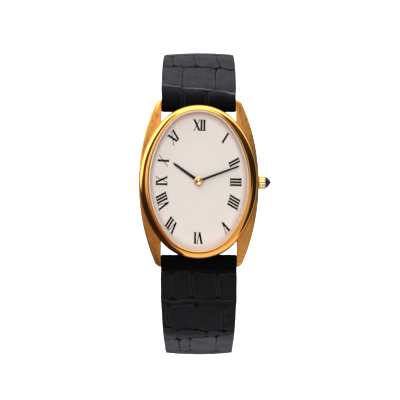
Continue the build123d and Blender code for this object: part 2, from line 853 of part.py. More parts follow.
# Balance wheel with its staff and roller, and the hairspring towards the cock
hairspring_level = bridge_top + wheel_air
balance_level = hairspring_level + hairspring_height + wheel_air
with BuildPart() as balance_wheel:
    with BuildSketch(flat(balance_place, balance_level)):
        Circle(balance_radius)
        for window in spokes(3, hub_radius, balance_radius - balance_rim):
            Polygon(*window, align=None, mode=Mode.SUBTRACT)
    extrude(amount=balance_height)
    add(arbor(balance_place, balance_level, level_escape, roller_radius / 2))
    add(arbor(balance_place, pivot_low, pivot_high, arbor_radius))
save(balance_wheel.part, "balance_wheel")

with BuildPart() as hairspring:
    add(
        spiral(
            balance_place,
            hairspring_level,
            hairspring_height,
            hairspring_start,
            hairspring_pitch,
            hairspring_turn_number,
            hairspring_width,
        )
    )
save(hairspring.part, "hairspring")

# Motion works under the dial
cannon_radius = cannon_bore + cannon_wall
with BuildPart() as cannon_pinion:
    with BuildSketch(flat(centre_place, recess_level + wheel_air)):
        Polygon(
            *toothed(cannon_teeth, motion_module, minute_direction + 180 / cannon_teeth),
            align=None,
        )
    extrude(amount=wheel_thickness)
    with BuildSketch(flat(centre_place, recess_level + wheel_air + wheel_thickness)):
        RegularPolygon(cannon_radius, 2 * fine_flat_number)
    extrude(amount=minute_hand_level - recess_level - wheel_air - wheel_thickness)
    with BuildSketch(flat(centre_place, recess_level + wheel_air)):
        RegularPolygon(cannon_bore + running_fit, fine_flat_number)
    extrude(amount=minute_hand_level - hand_gap - recess_level, mode=Mode.SUBTRACT)
save(cannon_pinion.part, "cannon_pinion")

with BuildPart() as minute_wheel:
    add(wheel(minute_place, minute_teeth, motion_module, bearing(minute_place, centre_place),
              recess_level + wheel_air, wheel_thickness))
    add(pinion(minute_place, minute_pinion_teeth, motion_module,
               bearing(minute_place, centre_place) + 180 / minute_pinion_teeth,
               recess_level + wheel_air + wheel_thickness, wheel_thickness + wheel_air))
    add(arbor(minute_place, plate_bottom + running_fit, recess_level + wheel_air, arbor_radius))
save(minute_wheel.part, "minute_wheel")

pipe_radius = cannon_radius + running_fit
hour_level = recess_level + 2 * wheel_air + wheel_thickness
with BuildPart() as hour_wheel:
    with BuildSketch(flat(centre_place, hour_level)):
        Polygon(*toothed(hour_teeth, motion_module, minute_direction), align=None)
        RegularPolygon(pipe_radius, 2 * fine_flat_number, mode=Mode.SUBTRACT)
    extrude(amount=wheel_thickness)
    with BuildSketch(flat(centre_place, hour_level + wheel_thickness)):
        RegularPolygon(pipe_radius + pipe_wall, 2 * fine_flat_number)
        RegularPolygon(pipe_radius, 2 * fine_flat_number, mode=Mode.SUBTRACT)
    extrude(amount=hour_hand_level + hand_thickness - hour_level - wheel_thickness)
save(hour_wheel.part, "hour_wheel")

with BuildPart() as setting_wheel:
    with BuildSketch(flat(setting_place, recess_level + wheel_air)):
        Polygon(
            *toothed(setting_teeth, motion_module,
                     meshed(setting_place, setting_teeth, minute_place)),
            align=None,
        )
    extrude(amount=wheel_thickness)
    add(arbor(setting_place, recess_level, recess_level + wheel_air, hub_radius))
save(setting_wheel.part, "setting_wheel")


# Hands: slim batons that taper from the hub to the tip
def hand(angle, length, width, bottom, bore, hub):
    """A baton hand with a hub and a bore."""
    with BuildPart() as baton:
        with BuildSketch(Plane(origin=(0, 0, bottom), x_dir=(cos(radians(angle + 90)),
                                                             sin(radians(angle + 90)), 0))):
            Polygon(
                (0, -width / 2),
                (length - width, -tip_share * width / 2),
                (length, 0),
                (length - width, tip_share * width / 2),
                (0, width / 2),
                align=None,
            )
            RegularPolygon(hub, 2 * fine_flat_number)
            if bore:
                RegularPolygon(bore, 2 * fine_flat_number, mode=Mode.SUBTRACT)
        extrude(amount=hand_thickness)
    return baton.part


with BuildPart() as hour_hand:
    add(hand(hour_angle, hour_hand_length, hour_hand_width, hour_hand_level,
             pipe_radius + pipe_wall, pipe_radius + 2 * pipe_wall))
save(hour_hand.part, "hour_hand")

with BuildPart() as minute_hand:
    add(hand(minute_angle, minute_hand_length, minute_hand_width, minute_hand_level,
             0, pipe_radius + pipe_wall))
save(minute_hand.part, "minute_hand")

# Hub cap: the polished disc over the hands
with BuildPart() as hub_cap:
    with BuildSketch(flat(centre_place, minute_hand_level + hand_thickness)):
        Circle(hub_cap_radius)
    extrude(amount=hub_cap_height)
    chamfer(hub_cap.faces().sort_by(Axis.Z)[-1].edges(), hub_cap_height / 2)
save(hub_cap.part, "hub_cap")

# Keyless works on the stem


def along_stem(start):
    """The plane square to the stem at a distance from the hands' axis."""
    return Plane(origin=(start, 0, stem_level), x_dir=(0, 1, 0), z_dir=(1, 0, 0))


stem_axis = Axis((0, 0, stem_level), (1, 0, 0))
winding_inner = winding_pinion_outer - winding_pinion_length
square_end = winding_inner + clutch_gap
with BuildPart() as winding_stem:
    with BuildSketch(along_stem(stem_inner_end)):
        RegularPolygon(stem_pilot_radius, fine_flat_number)
    extrude(amount=stem_pilot_length)
    with BuildSketch(along_stem(stem_inner_end + stem_pilot_length)):
        Rectangle(stem_square, stem_square)
    extrude(amount=square_end - stem_inner_end - stem_pilot_length)
    with BuildSketch(along_stem(square_end)):
        RegularPolygon(stem_radius, 2 * fine_flat_number)
    extrude(amount=crown_start + crown_length / 2 - square_end)
    with BuildSketch(along_stem(lever_groove_place)):
        Circle(stem_radius)
        RegularPolygon(stem_pilot_radius, fine_flat_number, mode=Mode.SUBTRACT)
    extrude(amount=lever_groove_width, mode=Mode.SUBTRACT)
save(winding_stem.part, "winding_stem")

with BuildPart() as winding_pinion:
    with BuildSketch(along_stem(winding_inner)):
        Polygon(
            *toothed(winding_teeth, 2 * winding_pinion_radius / (winding_teeth + 2), 0),
            align=None,
        )
        RegularPolygon(stem_radius + running_fit, 2 * fine_flat_number, mode=Mode.SUBTRACT)
    extrude(amount=winding_pinion_length)
save(winding_pinion.part, "winding_pinion")

clutch_outer = winding_inner - clutch_gap
with BuildPart() as clutch:
    with BuildSketch(along_stem(clutch_outer - clutch_length)):
        Polygon(
            *toothed(winding_teeth, 2 * clutch_radius / (winding_teeth + 2), 0),
            align=None,
        )
    extrude(amount=clutch_length)
    with BuildSketch(along_stem(clutch_outer - (clutch_length + clutch_groove_width) / 2)):
        Circle(clutch_radius)
        RegularPolygon(clutch_radius - clutch_groove_depth, fine_flat_number, mode=Mode.SUBTRACT)
    extrude(amount=clutch_groove_width, mode=Mode.SUBTRACT)
    with BuildSketch(along_stem(clutch_outer - clutch_length)):
        Rectangle(stem_square + running_fit, stem_square + running_fit)
    extrude(amount=clutch_length, mode=Mode.SUBTRACT)
save(clutch.part, "sliding_pinion")

with BuildPart() as crown_wheel:
    with BuildSketch(flat(crown_wheel_place, ratchet_level)):
        Polygon(
            *toothed(crown_wheel_teeth, ratchet_module,
                     bearing(crown_wheel_place, barrel_place)),
            align=None,
        )
    extrude(amount=crown_wheel_height)
    with BuildSketch(flat(crown_wheel_place, ratchet_level + ratchet_height)):
        RegularPolygon(ratchet_module * (crown_wheel_teeth / 2 - 3), 2 * fine_flat_number)
    extrude(amount=crown_wheel_height, mode=Mode.SUBTRACT)
save(crown_wheel.part, "crown_wheel")

with BuildPart() as ratchet_wheel:
    with BuildSketch(flat(barrel_place, ratchet_level)):
        Polygon(
            *toothed(ratchet_teeth, ratchet_module,
                     meshed(barrel_place, ratchet_teeth, crown_wheel_place)),
            align=None,
        )
        Circle(barrel_arbor_radius / 2, mode=Mode.SUBTRACT)
    extrude(amount=ratchet_height)
save(ratchet_wheel.part, "ratchet_wheel")

# Crown: fluted, with a hollow towards the case and a pointed cabochon
with BuildPart() as crown_tube:
    with BuildSketch(along_stem(crown_start - running_fit - tube_length)):
        RegularPolygon(tube_radius - seat_fit / 2, 2 * fine_flat_number)
        RegularPolygon(tube_bore, 2 * fine_flat_number, mode=Mode.SUBTRACT)
    extrude(amount=tube_length)
save(crown_tube.part, "crown_tube")

with BuildPart() as crown:
    with BuildSketch(along_stem(crown_start)):
        flute = []
        for number in range(crown_flute_number):
            flute.append(polar(crown_radius - crown_flute_depth, number * 360 / crown_flute_number))
            flute.append(polar(crown_radius, (number + 1 / 2) * 360 / crown_flute_number))
        Polygon(*flute, align=None)
    extrude(amount=crown_length)
    with BuildSketch(Plane.XZ):
        with BuildLine():
            Polyline(
                (crown_start, stem_level),
                (crown_start, stem_level + crown_radius),
                (crown_start + crown_length - crown_edge, stem_level + crown_radius),
                (crown_start + crown_length, stem_level + cabochon_radius),
                (crown_start + crown_length, stem_level),
                close=True,
            )
        make_face()
    revolve(axis=stem_axis, mode=Mode.INTERSECT)
    with BuildSketch(along_stem(crown_start)):
        RegularPolygon(stem_radius, 2 * fine_flat_number)
    extrude(amount=crown_length / 2, mode=Mode.SUBTRACT)
save(crown.part, "crown")

with BuildPart() as crown_cabochon:
    with BuildSketch(Plane.XZ):
        with BuildLine():
            stone_start = crown_start + crown_length
            Polyline(
                (stone_start, stem_level),
                (stone_start, stem_level + cabochon_radius),
                (stone_start + cabochon_girdle, stem_level + cabochon_radius),
                (stone_start + cabochon_length, stem_level),
                close=True,
            )
        make_face()
    revolve(axis=stem_axis)
save(crown_cabochon.part, "crown_cabochon")

# Setting lever, yoke and click: flat steel levers
lever_level = recess_level + wheel_air
with BuildPart() as setting_lever:
    with BuildSketch(flat(setting_lever_pivot, lever_level)):
        RegularPolygon(lever_head, fine_flat_number)
        with Locations(Location((0, 0, 0), (0, 0, bearing(setting_lever_pivot, setting_pin)))):
            Rectangle(
                hypot(setting_lever_drop, crown_pull_travel / 2),
                lever_groove_width,
                align=(Align.MIN, Align.CENTER),
            )
        Circle(lever_post + running_fit, mode=Mode.SUBTRACT)
    extrude(amount=lever_thickness)
    add(arbor(setting_pin, stem_level + stem_pilot_radius, lever_level + lever_thickness,
              lever_groove_width / 2 - running_fit))
save(setting_lever.part, "setting_lever")

with BuildPart() as yoke:
    with BuildSketch(flat(yoke_pivot, lever_level)):
        RegularPolygon(lever_head, fine_flat_number)
        with Locations(Location((0, 0, 0), (0, 0, yoke_direction))):
            Rectangle(
                yoke_length, clutch_groove_width - 2 * running_fit, align=(Align.MIN, Align.CENTER)
            )
        Circle(lever_post + running_fit, mode=Mode.SUBTRACT)
    extrude(amount=lever_thickness)
save(yoke.part, "yoke")

with BuildPart() as click:
    with BuildSketch(flat(click_pivot, ratchet_level)):
        RegularPolygon(click_head, fine_flat_number)
        with Locations(Location((0, 0, 0), (0, 0, click_direction + 180))):
            Rectangle(2 * click_head, click_head / 2, align=(Align.MIN, Align.CENTER))
        Circle(lever_post + running_fit, mode=Mode.SUBTRACT)
    extrude(amount=lever_thickness)
save(click.part, "click")

# Screws of the bridges and the cock: heads on the bridges, shanks into the plate's wall
with BuildPart() as bridge_screws:
    with BuildSketch(Plane.XY.offset(bridge_level - screw_head_height)):
        with Locations(screw_places):
            RegularPolygon(screw_head_radius, 2 * fine_flat_number)
    extrude(amount=screw_head_height)
    with BuildSketch(Plane.XY.offset(bridge_level)):
        with Locations(screw_places):
            RegularPolygon(screw_shank_radius, fine_flat_number)
    extrude(amount=screw_length)
save(bridge_screws.part, "bridge_screws")

# Spring bars: a barrel between the lugs and a narrower tip in each lug
for bar_name, end_sign in (("spring_bar_12", 1), ("spring_bar_6", -1)):
    with BuildPart() as spring_bar:
        with BuildSketch(Plane(origin=(0, end_sign * bar_reach, bar_height), z_dir=(1, 0, 0))):
            Circle(bar_radius)
        extrude(amount=lug_gap / 2 - seat_fit, both=True)
        with BuildSketch(Plane(origin=(0, end_sign * bar_reach, bar_height), z_dir=(1, 0, 0))):
            RegularPolygon(bar_tip_radius, fine_flat_number)
        extrude(amount=lug_gap / 2 + bar_tip_length, both=True)
    save(spring_bar.part, bar_name)


# Strap: routes in the side view, walked from the spring bar
def walk(route, offset):
    """Corner points of a line that keeps a distance outside a strap's route."""
    y, z, heading = bar_reach, bar_height, -strap_lead_drop
    pieces = []
    for length, radius, turn in route:
        start = (y - offset * sin(radians(heading)), z + offset * cos(radians(heading)))
        if radius:
            centre = (y + radius * sin(radians(heading)), z - radius * cos(radians(heading)))
            reach = radius + offset
            middle = radians(heading - turn / 2 + 90)
            heading -= turn
            end_turn = radians(heading + 90)
            y = centre[0] + radius * cos(end_turn)
            z = centre[1] + radius * sin(end_turn)
            bend = (centre[0] + reach * cos(middle), centre[1] + reach * sin(middle))
            end = (centre[0] + reach * cos(end_turn), centre[1] + reach * sin(end_turn))
            pieces.append((start, bend, end))
        else:
            y += length * cos(radians(heading))
            z += length * sin(radians(heading))
            end = (y - offset * sin(radians(heading)), z + offset * cos(radians(heading)))
            pieces.append((start, None, end))
    return pieces, (y, z, heading)


def band(route, inner, outer, mirror_sign, skip):
    """A flat strip along a route, between two distances from it, as wide as the lugs' gap."""
    near = walk(route, inner)[0]
    far = walk(route, outer)[0]
    slope = radians(-strap_lead_drop)

    def start_of(point):
        return (point[0] + skip * cos(slope), point[1] + skip * sin(slope))

    def turned(point):
        return (mirror_sign * point[0], point[1])

    with BuildPart() as strip:
        with BuildSketch(Plane.YZ):
            with BuildLine():
                for side in (near, far):
                    for number, (start, bend, end) in enumerate(side):
                        start = start_of(start) if number == 0 else start
                        if bend:
                            ThreePointArc(turned(start), turned(bend), turned(end))
                        else:
                            Line(turned(start), turned(end))
                Line(turned(start_of(near[0][0])), turned(start_of(far[0][0])))
                Line(turned(near[-1][2]), turned(far[-1][2]))
            make_face()
        extrude(amount=lug_gap / 2 - strap_side_gap, both=True)
        # The strip narrows on its way down, and its end has straight sides
        with BuildSketch(Plane.XZ):
            end_level = walk(route, 0)[1][1]
            half = lug_gap / 2 - strap_side_gap
            Polygon(
                (-half, bar_height + 2 * strap_roll_radius),
                (half, bar_height + 2 * strap_roll_radius),
                (half, -strap_taper_start),
                (strap_end_width / 2, end_level + strap_straight_end),
                (strap_end_width / 2, end_level - 2 * strap_roll_radius),
                (-strap_end_width / 2, end_level - 2 * strap_roll_radius),
                (-strap_end_width / 2, end_level + strap_straight_end),
                (-half, -strap_taper_start),
                align=None,
            )
        extrude(amount=strap_fall + bar_reach, both=True, mode=Mode.INTERSECT)
    return strip.part


short_route = [(strap_lead, 0, 0)]
short_route += [(0, radius, turn) for radius, turn in zip(short_radii, short_turns)]
short_route += [(short_run, 0, 0)]
long_route = [(strap_lead, 0, 0)]
long_route += [(0, radius, turn) for radius, turn in zip(long_radii, long_turns)]
long_route += [(long_run, 0, 0)]
short_end = walk(short_route, 0)[1]
long_end = walk(long_route, 0)[1]

# How far the strap hangs below the spring bars
strap_fall = bar_height - long_end[1] + 2 * strap_roll_radius + overrun

# The short half's end lies square to its route, with the buckle beyond it
end_turn = radians(short_end[2])
buckle_plane = Plane(
    origin=(0, short_end[0], short_end[1]),
    x_dir=(1, 0, 0),
    z_dir=(0, -sin(end_turn), cos(end_turn)),
)
buckle_side_plane = Plane(
    origin=buckle_plane.origin, x_dir=buckle_plane.y_dir, z_dir=buckle_plane.x_dir
)

with BuildPart() as strap_short_outer:
    add(band(short_route, 0, strap_outer_thickness, 1, 0))
    with BuildSketch(Plane(origin=(0, bar_reach, bar_height), z_dir=(1, 0, 0))):
        Circle(strap_roll_radius)
    extrude(amount=lug_gap / 2 - strap_side_gap, both=True)
    with BuildSketch(Plane(origin=(0, bar_reach, bar_height), z_dir=(1, 0, 0))):
        RegularPolygon(bar_radius + running_fit, 3 * fine_flat_number)
    extrude(amount=lug_gap, both=True, mode=Mode.SUBTRACT)
    with BuildSketch(buckle_side_plane):
        Circle(strap_roll_radius)
    extrude(amount=strap_end_width / 2, both=True)
    with BuildSketch(buckle_side_plane):
        RegularPolygon(buckle_bar_radius + running_fit, 3 * fine_flat_number)
    extrude(amount=lug_gap, both=True, mode=Mode.SUBTRACT)
    # Slot for the tongue
    with BuildSketch(buckle_plane):
        Rectangle(tongue_width + 2 * tongue_slot_gap, 2 * tongue_slot_reach)
    extrude(amount=2 * strap_roll_radius, both=True, mode=Mode.SUBTRACT)
save(strap_short_outer.part, "strap_short_outer")

with BuildPart() as strap_short_lining:
    add(band(short_route, -strap_lining_thickness, 0, 1, lining_start))
    with BuildSketch(buckle_side_plane):
        Rectangle(2 * lining_start, 4 * strap_roll_radius)
    extrude(amount=lug_gap, both=True, mode=Mode.SUBTRACT)
    with BuildSketch(buckle_plane):
        Rectangle(tongue_width + 2 * tongue_slot_gap, 2 * tongue_slot_reach)
    extrude(amount=2 * strap_roll_radius, both=True, mode=Mode.SUBTRACT)
save(strap_short_lining.part, "strap_short_lining")

# The long half ends in a rounded point and is pierced for the tongue; the plane in its free
# end has its origin at the point
tail_turn = radians(long_end[2])
tail_plane = Plane(
    origin=(0, -long_end[0], long_end[1]),
    x_dir=(-1, 0, 0),
    z_dir=(0, sin(tail_turn), cos(tail_turn)),
)


def tail_cut(strip):
    """Round the long half's free end and pierce its holes."""
    with BuildPart() as cut:
        add(strip)
        with BuildSketch(tail_plane):
            with BuildLine():
                nose = -tail_nose_length
                back = -strap_fall - bar_reach
                half = lug_gap / 2
                tip_half = strap_end_width / 2
                bulge = tail_bulge_share * tip_half
                Polyline((-tip_half, nose), (-half, nose), (-half, back), (half, back),
                         (half, nose), (tip_half, nose))
                ThreePointArc((tip_half, nose), (bulge, nose / 2), (0, 0))
                ThreePointArc((0, 0), (-bulge, nose / 2), (-tip_half, nose))
            make_face()
        extrude(amount=strap_fall, both=True, mode=Mode.INTERSECT)
        with BuildSketch(tail_plane):
            for number in range(hole_number):
                with Locations((0, -first_hole - number * hole_pitch)):
                    RegularPolygon(hole_radius, fine_flat_number)
        extrude(amount=2 * strap_roll_radius, both=True, mode=Mode.SUBTRACT)
    return cut.part


with BuildPart() as strap_long_outer:
    add(tail_cut(band(long_route, 0, strap_outer_thickness, -1, 0)))
    with BuildSketch(Plane(origin=(0, -bar_reach, bar_height), z_dir=(1, 0, 0))):
        Circle(strap_roll_radius)
    extrude(amount=lug_gap / 2 - strap_side_gap, both=True)
    with BuildSketch(Plane(origin=(0, -bar_reach, bar_height), z_dir=(1, 0, 0))):
        RegularPolygon(bar_radius + running_fit, 3 * fine_flat_number)
    extrude(amount=lug_gap, both=True, mode=Mode.SUBTRACT)
save(strap_long_outer.part, "strap_long_outer")

with BuildPart() as strap_long_lining:
    add(tail_cut(band(long_route, -strap_lining_thickness, 0, -1, lining_start)))
save(strap_long_lining.part, "strap_long_lining")

# Buckle: a frame open towards the strap, its bar and its tongue
frame_inner = strap_end_width / 2 + buckle_side_gap
frame_outer = frame_inner + buckle_side
with BuildPart() as buckle_frame:
    with BuildSketch(buckle_plane.offset(-buckle_thickness / 2)):
        with Locations((0, -buckle_bar_radius - buckle_side)):
            Rectangle(
                2 * frame_outer,
                buckle_length + buckle_bar_radius + buckle_side,
                align=(Align.CENTER, Align.MIN),
            )
        with Locations((0, -buckle_bar_radius - buckle_side)):
            Rectangle(
                2 * frame_inner,
                buckle_length + buckle_bar_radius + buckle_side - buckle_front,
                align=(Align.CENTER, Align.MIN),
                mode=Mode.SUBTRACT,
            )
    extrude(amount=buckle_thickness)
    upright = buckle_frame.edges().filter_by(Axis(buckle_plane.origin, buckle_plane.z_dir))
    corners = upright.sort_by(Axis(buckle_plane.origin, buckle_plane.y_dir))[-2:]
    fillet(corners, buckle_corner)
    with BuildSketch(buckle_side_plane):
        RegularPolygon(buckle_bar_radius / 2, fine_flat_number)
    extrude(amount=frame_outer, both=True, mode=Mode.SUBTRACT)
save(buckle_frame.part, "buckle_frame")

with BuildPart() as buckle_bar:
    with BuildSketch(buckle_side_plane):
        Circle(buckle_bar_radius)
    extrude(amount=frame_inner - seat_fit, both=True)
    with BuildSketch(buckle_side_plane):
        RegularPolygon(buckle_bar_radius / 2, fine_flat_number)
    extrude(amount=frame_outer, both=True)
save(buckle_bar.part, "buckle_bar")

with BuildPart() as buckle_tongue:
    ring_radius = buckle_bar_radius + running_fit + tongue_ring
    with BuildSketch(buckle_side_plane):
        Circle(ring_radius)
        Polygon(
            (0, ring_radius),
            (buckle_length + tongue_ring, buckle_thickness / 2 + running_fit + tongue_thickness / 2),
            (buckle_length + tongue_ring, buckle_thickness / 2 + running_fit),
            (buckle_length - buckle_front - tongue_ring, buckle_thickness / 2 + running_fit),
            (0, ring_radius - tongue_thickness),
            align=None,
        )
        Circle(buckle_bar_radius + running_fit, mode=Mode.SUBTRACT)
    extrude(amount=tongue_width / 2, both=True)
save(buckle_tongue.part, "buckle_tongue")


# Keepers: closed leather loops round the short half
def keeper(back_step):
    """A loop at a distance back from the short half's end."""
    with BuildPart() as loop:
        middle = buckle_plane.origin - buckle_plane.y_dir * back_step
        with BuildSketch(
            Plane(origin=middle, x_dir=buckle_plane.x_dir, z_dir=buckle_plane.y_dir)
        ):
            room = strap_outer_thickness + strap_lining_thickness + keeper_room + keeper_gap
            lift = (strap_lining_thickness - strap_outer_thickness - keeper_room) / 2
            with Locations((0, lift)):
                Rectangle(
                    strap_end_width + 2 * (keeper_gap + keeper_wall), room + keeper_gap + 2 * keeper_wall
                )
                Rectangle(strap_end_width + 2 * keeper_gap, room + keeper_gap, mode=Mode.SUBTRACT)
        extrude(amount=keeper_width / 2, both=True)
    return loop.part


with BuildPart() as keeper_fixed:
    add(keeper(fixed_keeper_place))
save(keeper_fixed.part, "keeper_fixed")

with BuildPart() as keeper_free:
    add(keeper(free_keeper_place))
save(keeper_free.part, "keeper_free")
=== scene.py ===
"""Looks of an oval dress watch on a curled strap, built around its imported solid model.

Every length is in metres, in the model's own frame: +Z out of the dial, +Y towards 12 o'clock and
+X towards the crown, with the origin at the centre of the case back.
"""
import logging
import math
from dataclasses import dataclass, field
from enum import Enum
from typing import Iterable, Optional, Sequence, Union

import bmesh
import bpy
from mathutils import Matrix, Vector, noise


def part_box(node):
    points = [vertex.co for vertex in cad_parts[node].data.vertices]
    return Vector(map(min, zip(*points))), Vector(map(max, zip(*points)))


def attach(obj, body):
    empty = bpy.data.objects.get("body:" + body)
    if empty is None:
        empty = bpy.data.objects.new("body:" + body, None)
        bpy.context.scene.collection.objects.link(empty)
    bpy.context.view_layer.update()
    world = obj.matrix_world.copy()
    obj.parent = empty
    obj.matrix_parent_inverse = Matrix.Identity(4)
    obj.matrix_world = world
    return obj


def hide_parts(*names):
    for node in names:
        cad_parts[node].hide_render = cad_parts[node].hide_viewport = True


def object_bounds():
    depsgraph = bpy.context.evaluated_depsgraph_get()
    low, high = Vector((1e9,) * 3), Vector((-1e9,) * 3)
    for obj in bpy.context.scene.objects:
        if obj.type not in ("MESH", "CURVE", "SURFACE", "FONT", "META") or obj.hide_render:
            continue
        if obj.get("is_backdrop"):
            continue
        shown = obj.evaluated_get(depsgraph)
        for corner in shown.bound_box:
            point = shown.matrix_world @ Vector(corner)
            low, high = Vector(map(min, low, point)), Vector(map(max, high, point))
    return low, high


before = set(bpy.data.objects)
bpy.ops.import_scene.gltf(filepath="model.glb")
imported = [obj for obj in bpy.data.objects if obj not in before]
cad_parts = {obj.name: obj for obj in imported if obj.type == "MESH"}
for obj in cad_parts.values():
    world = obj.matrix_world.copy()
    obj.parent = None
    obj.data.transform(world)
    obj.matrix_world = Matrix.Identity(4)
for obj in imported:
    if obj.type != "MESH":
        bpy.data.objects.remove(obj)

MM = 0.001
CRISP_ANGLE = 35.0
LOG = logging.getLogger("oval_watch")
Point = tuple[float, float, float]
Flat = tuple[float, float]
Colour = tuple[float, float, float]
Piece = bpy.types.Object
Node = bpy.types.Node
Socket = bpy.types.NodeSocket


# Small tools for meshes and outlines


def linked(name: str, data: bpy.types.ID) -> Piece:
    """Add an object to the scene, at the origin.

    Args:
        name: Its name.
        data: Its mesh, light or camera.

    Returns:
        The object.
    """
    made = bpy.data.objects.new(name, data)
    bpy.context.scene.collection.objects.link(made)
    return made


def new_piece(name: str, points: Sequence[Point], faces: Sequence[Sequence[int]],
              smooth: bool = True) -> Piece:
    """Make a mesh object at the origin.

    Args:
        name: The piece's name.
        points: Its vertices.
        faces: Its faces, as vertex numbers.
        smooth: Whether its faces are shaded smooth.

    Returns:
        The new object, linked to the scene.
    """
    mesh = bpy.data.meshes.new(name)
    mesh.from_pydata(points, [], faces)
    mesh.validate()
    mesh.polygons.foreach_set("use_smooth", [smooth] * len(mesh.polygons))
    return linked(name, mesh)


def crisp(piece: Piece, angle: float = CRISP_ANGLE) -> Piece:
    """Keep a piece's edges sharper than an angle, in degrees, crisp in the shading."""
    piece.data.set_sharp_from_angle(angle=math.radians(angle))
    return piece


def outwards(piece: Piece, merge: bool = True) -> Piece:
    """Turn a closed piece's faces outwards.

    Args:
        piece: The mesh object.
        merge: Whether points in one place are merged; if not, loose points are dropped.

    Returns:
        The same object.
    """
    work = bmesh.new()
    work.from_mesh(piece.data)
    if merge:
        bmesh.ops.remove_doubles(work, verts=work.verts, dist=MM / 10000)
    else:
        loose = [vertex for vertex in work.verts if not vertex.link_faces]
        bmesh.ops.delete(work, geom=loose, context="VERTS")
    bmesh.ops.recalc_face_normals(work, faces=work.faces)
    work.to_mesh(piece.data)
    work.free()
    return piece


def settled(piece: Piece) -> Piece:
    """Turn a piece's modifiers into its plain mesh.

    Args:
        piece: The mesh object.

    Returns:
        The same object, with no modifiers left.
    """
    graph = bpy.context.evaluated_depsgraph_get()
    graph.update()
    mesh = bpy.data.meshes.new_from_object(piece.evaluated_get(graph))
    mesh.name = piece.name
    piece.modifiers.clear()
    piece.data = mesh
    return piece


def rounded_copy(name: str, node: str, width: float, segments: int = 3) -> Piece:
    """Copy a solid's mesh, merge it and round its edges.

    Args:
        name: The new piece's name.
        node: The solid's node.
        width: The rounding's width.
        segments: The number of faces across each rounding.

    Returns:
        The new piece.
    """
    piece = linked(name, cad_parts[node].data.copy())
    piece.data.name = name
    piece.data.materials.clear()
    outwards(piece)
    bevel = piece.modifiers.new("rounding", "BEVEL")
    bevel.width = width
    bevel.segments = segments
    bevel.limit_method = "ANGLE"
    bevel.angle_limit = math.radians(CRISP_ANGLE)
    bevel.harden_normals = False
    settled(piece)
    piece.data.polygons.foreach_set("use_smooth", [True] * len(piece.data.polygons))
    return crisp(piece)


def ring_faces(ring_count: int, ring_size: int, closed: bool = False) -> list[tuple[int, ...]]:
    """Join rings of equal size into bands of quads.

    Args:
        ring_count: The number of rings.
        ring_size: The number of points in each ring.
        closed: Whether the last ring joins the first.

    Returns:
        The faces.
    """
    faces = []
    for ring in range(ring_count if closed else ring_count - 1):
        here = ring * ring_size
        there = (ring + 1) % ring_count * ring_size
        for step in range(ring_size):
            after = (step + 1) % ring_size
            faces.append((here + step, here + after, there + after, there + step))
    return faces


def smooth_step(value: float) -> float:
    """Ease a value from 0 to 1, held inside that range."""
    held = min(1.0, max(0.0, value))
    return held * held * (3 - 2 * held)


def between(start: float, end: float, share: float) -> float:
    """The value at a share of the way from start to end."""
    return start + (end - start) * share


def hump(distance: float, width: float = 1.0) -> float:
    """A smooth hump of height 1 over distance 0, nearly gone at twice its width."""
    return math.exp(-((distance / width) ** 2))


def quarter_turn(steps: int) -> list[Flat]:
    """The sine, and what the cosine lacks to 1, at equal steps through a quarter turn."""
    angles = [math.pi / 2 * step / steps for step in range(1, steps + 1)]
    return [(math.sin(angle), 1 - math.cos(angle)) for angle in angles]


@dataclass(frozen=True)
class Oval:
    """An oval of four arcs, longer towards 12 and 6 o'clock.

    Attributes:
        half_width: Half its size across.
        half_length: Half its size along.
        end_power: The power of width over length that gives the end arcs' radius.
    """

    half_width: float
    half_length: float
    end_power: float = 0.727

    def point(self, angle: float) -> Flat:
        """The place on the oval whose outward normal has this angle.

        Args:
            angle: The normal's angle from +X, in radians.

        Returns:
            The place, as x and y.
        """
        end_radius = self.half_width * (self.half_width / self.half_length) ** self.end_power
        end_centre = self.half_length - end_radius
        side_radius = (self.half_width**2 + end_centre**2 - end_radius**2) / (
            self.half_width - end_radius) / 2
        join = math.atan2(end_centre, side_radius - self.half_width)
        across, along = math.cos(angle), math.sin(angle)
        if abs(along) < math.sin(join):
            sign = 1 if across > 0 else -1
            return (sign * (self.half_width - side_radius) + side_radius * across,
                    side_radius * along)
        sign = 1 if along > 0 else -1
        return (end_radius * across, sign * end_centre + end_radius * along)

    def outline(self, steps: int) -> list[Flat]:
        """The places at equal steps of the normal's angle round the oval."""
        return [self.point(2 * math.pi * step / steps) for step in range(steps)]

    def ring(self, steps: int, share: float, level: float) -> list[Point]:
        """A ring of points at a height, on the oval shrunk to a share of its size."""
        return [(across * share, along * share, level) for across, along in self.outline(steps)]

    def half_width_at(self, along: float) -> float:
        """Half the oval's width at a distance along it, or 0 past its end.

        Args:
            along: The distance from the centre, towards 12 or 6 o'clock.

        Returns:
            The half width there.
        """
        if abs(along) >= self.half_length:
            return 0.0
        low, high = 0.0, math.pi / 2
        for _ in range(40):
            middle = (low + high) / 2
            low, high = (middle, high) if self.point(middle)[1] < abs(along) else (low, middle)
        return self.point(low)[0]


def oval_band(name: str, outer: Oval, inner: Oval, profile: Sequence[Flat], steps: int,
              angle: float = CRISP_ANGLE) -> Piece:
    """Sweep a closed profile round between two ovals.

    Args:
        name: The piece's name.
        outer: The oval at profile share 0.
        inner: The oval at profile share 1.
        profile: Places of the profile, as a share from outer to inner and a height.
        steps: The number of stations round the ovals.
        angle: The angle of the edges that stay crisp, in degrees.

    Returns:
        The piece.
    """
    pairs = list(zip(outer.outline(steps), inner.outline(steps)))
    points = [(between(far[0], near[0], share), between(far[1], near[1], share), height)
              for share, height in profile for far, near in pairs]
    return crisp(outwards(new_piece(name, points, ring_faces(len(profile), steps, True))), angle)


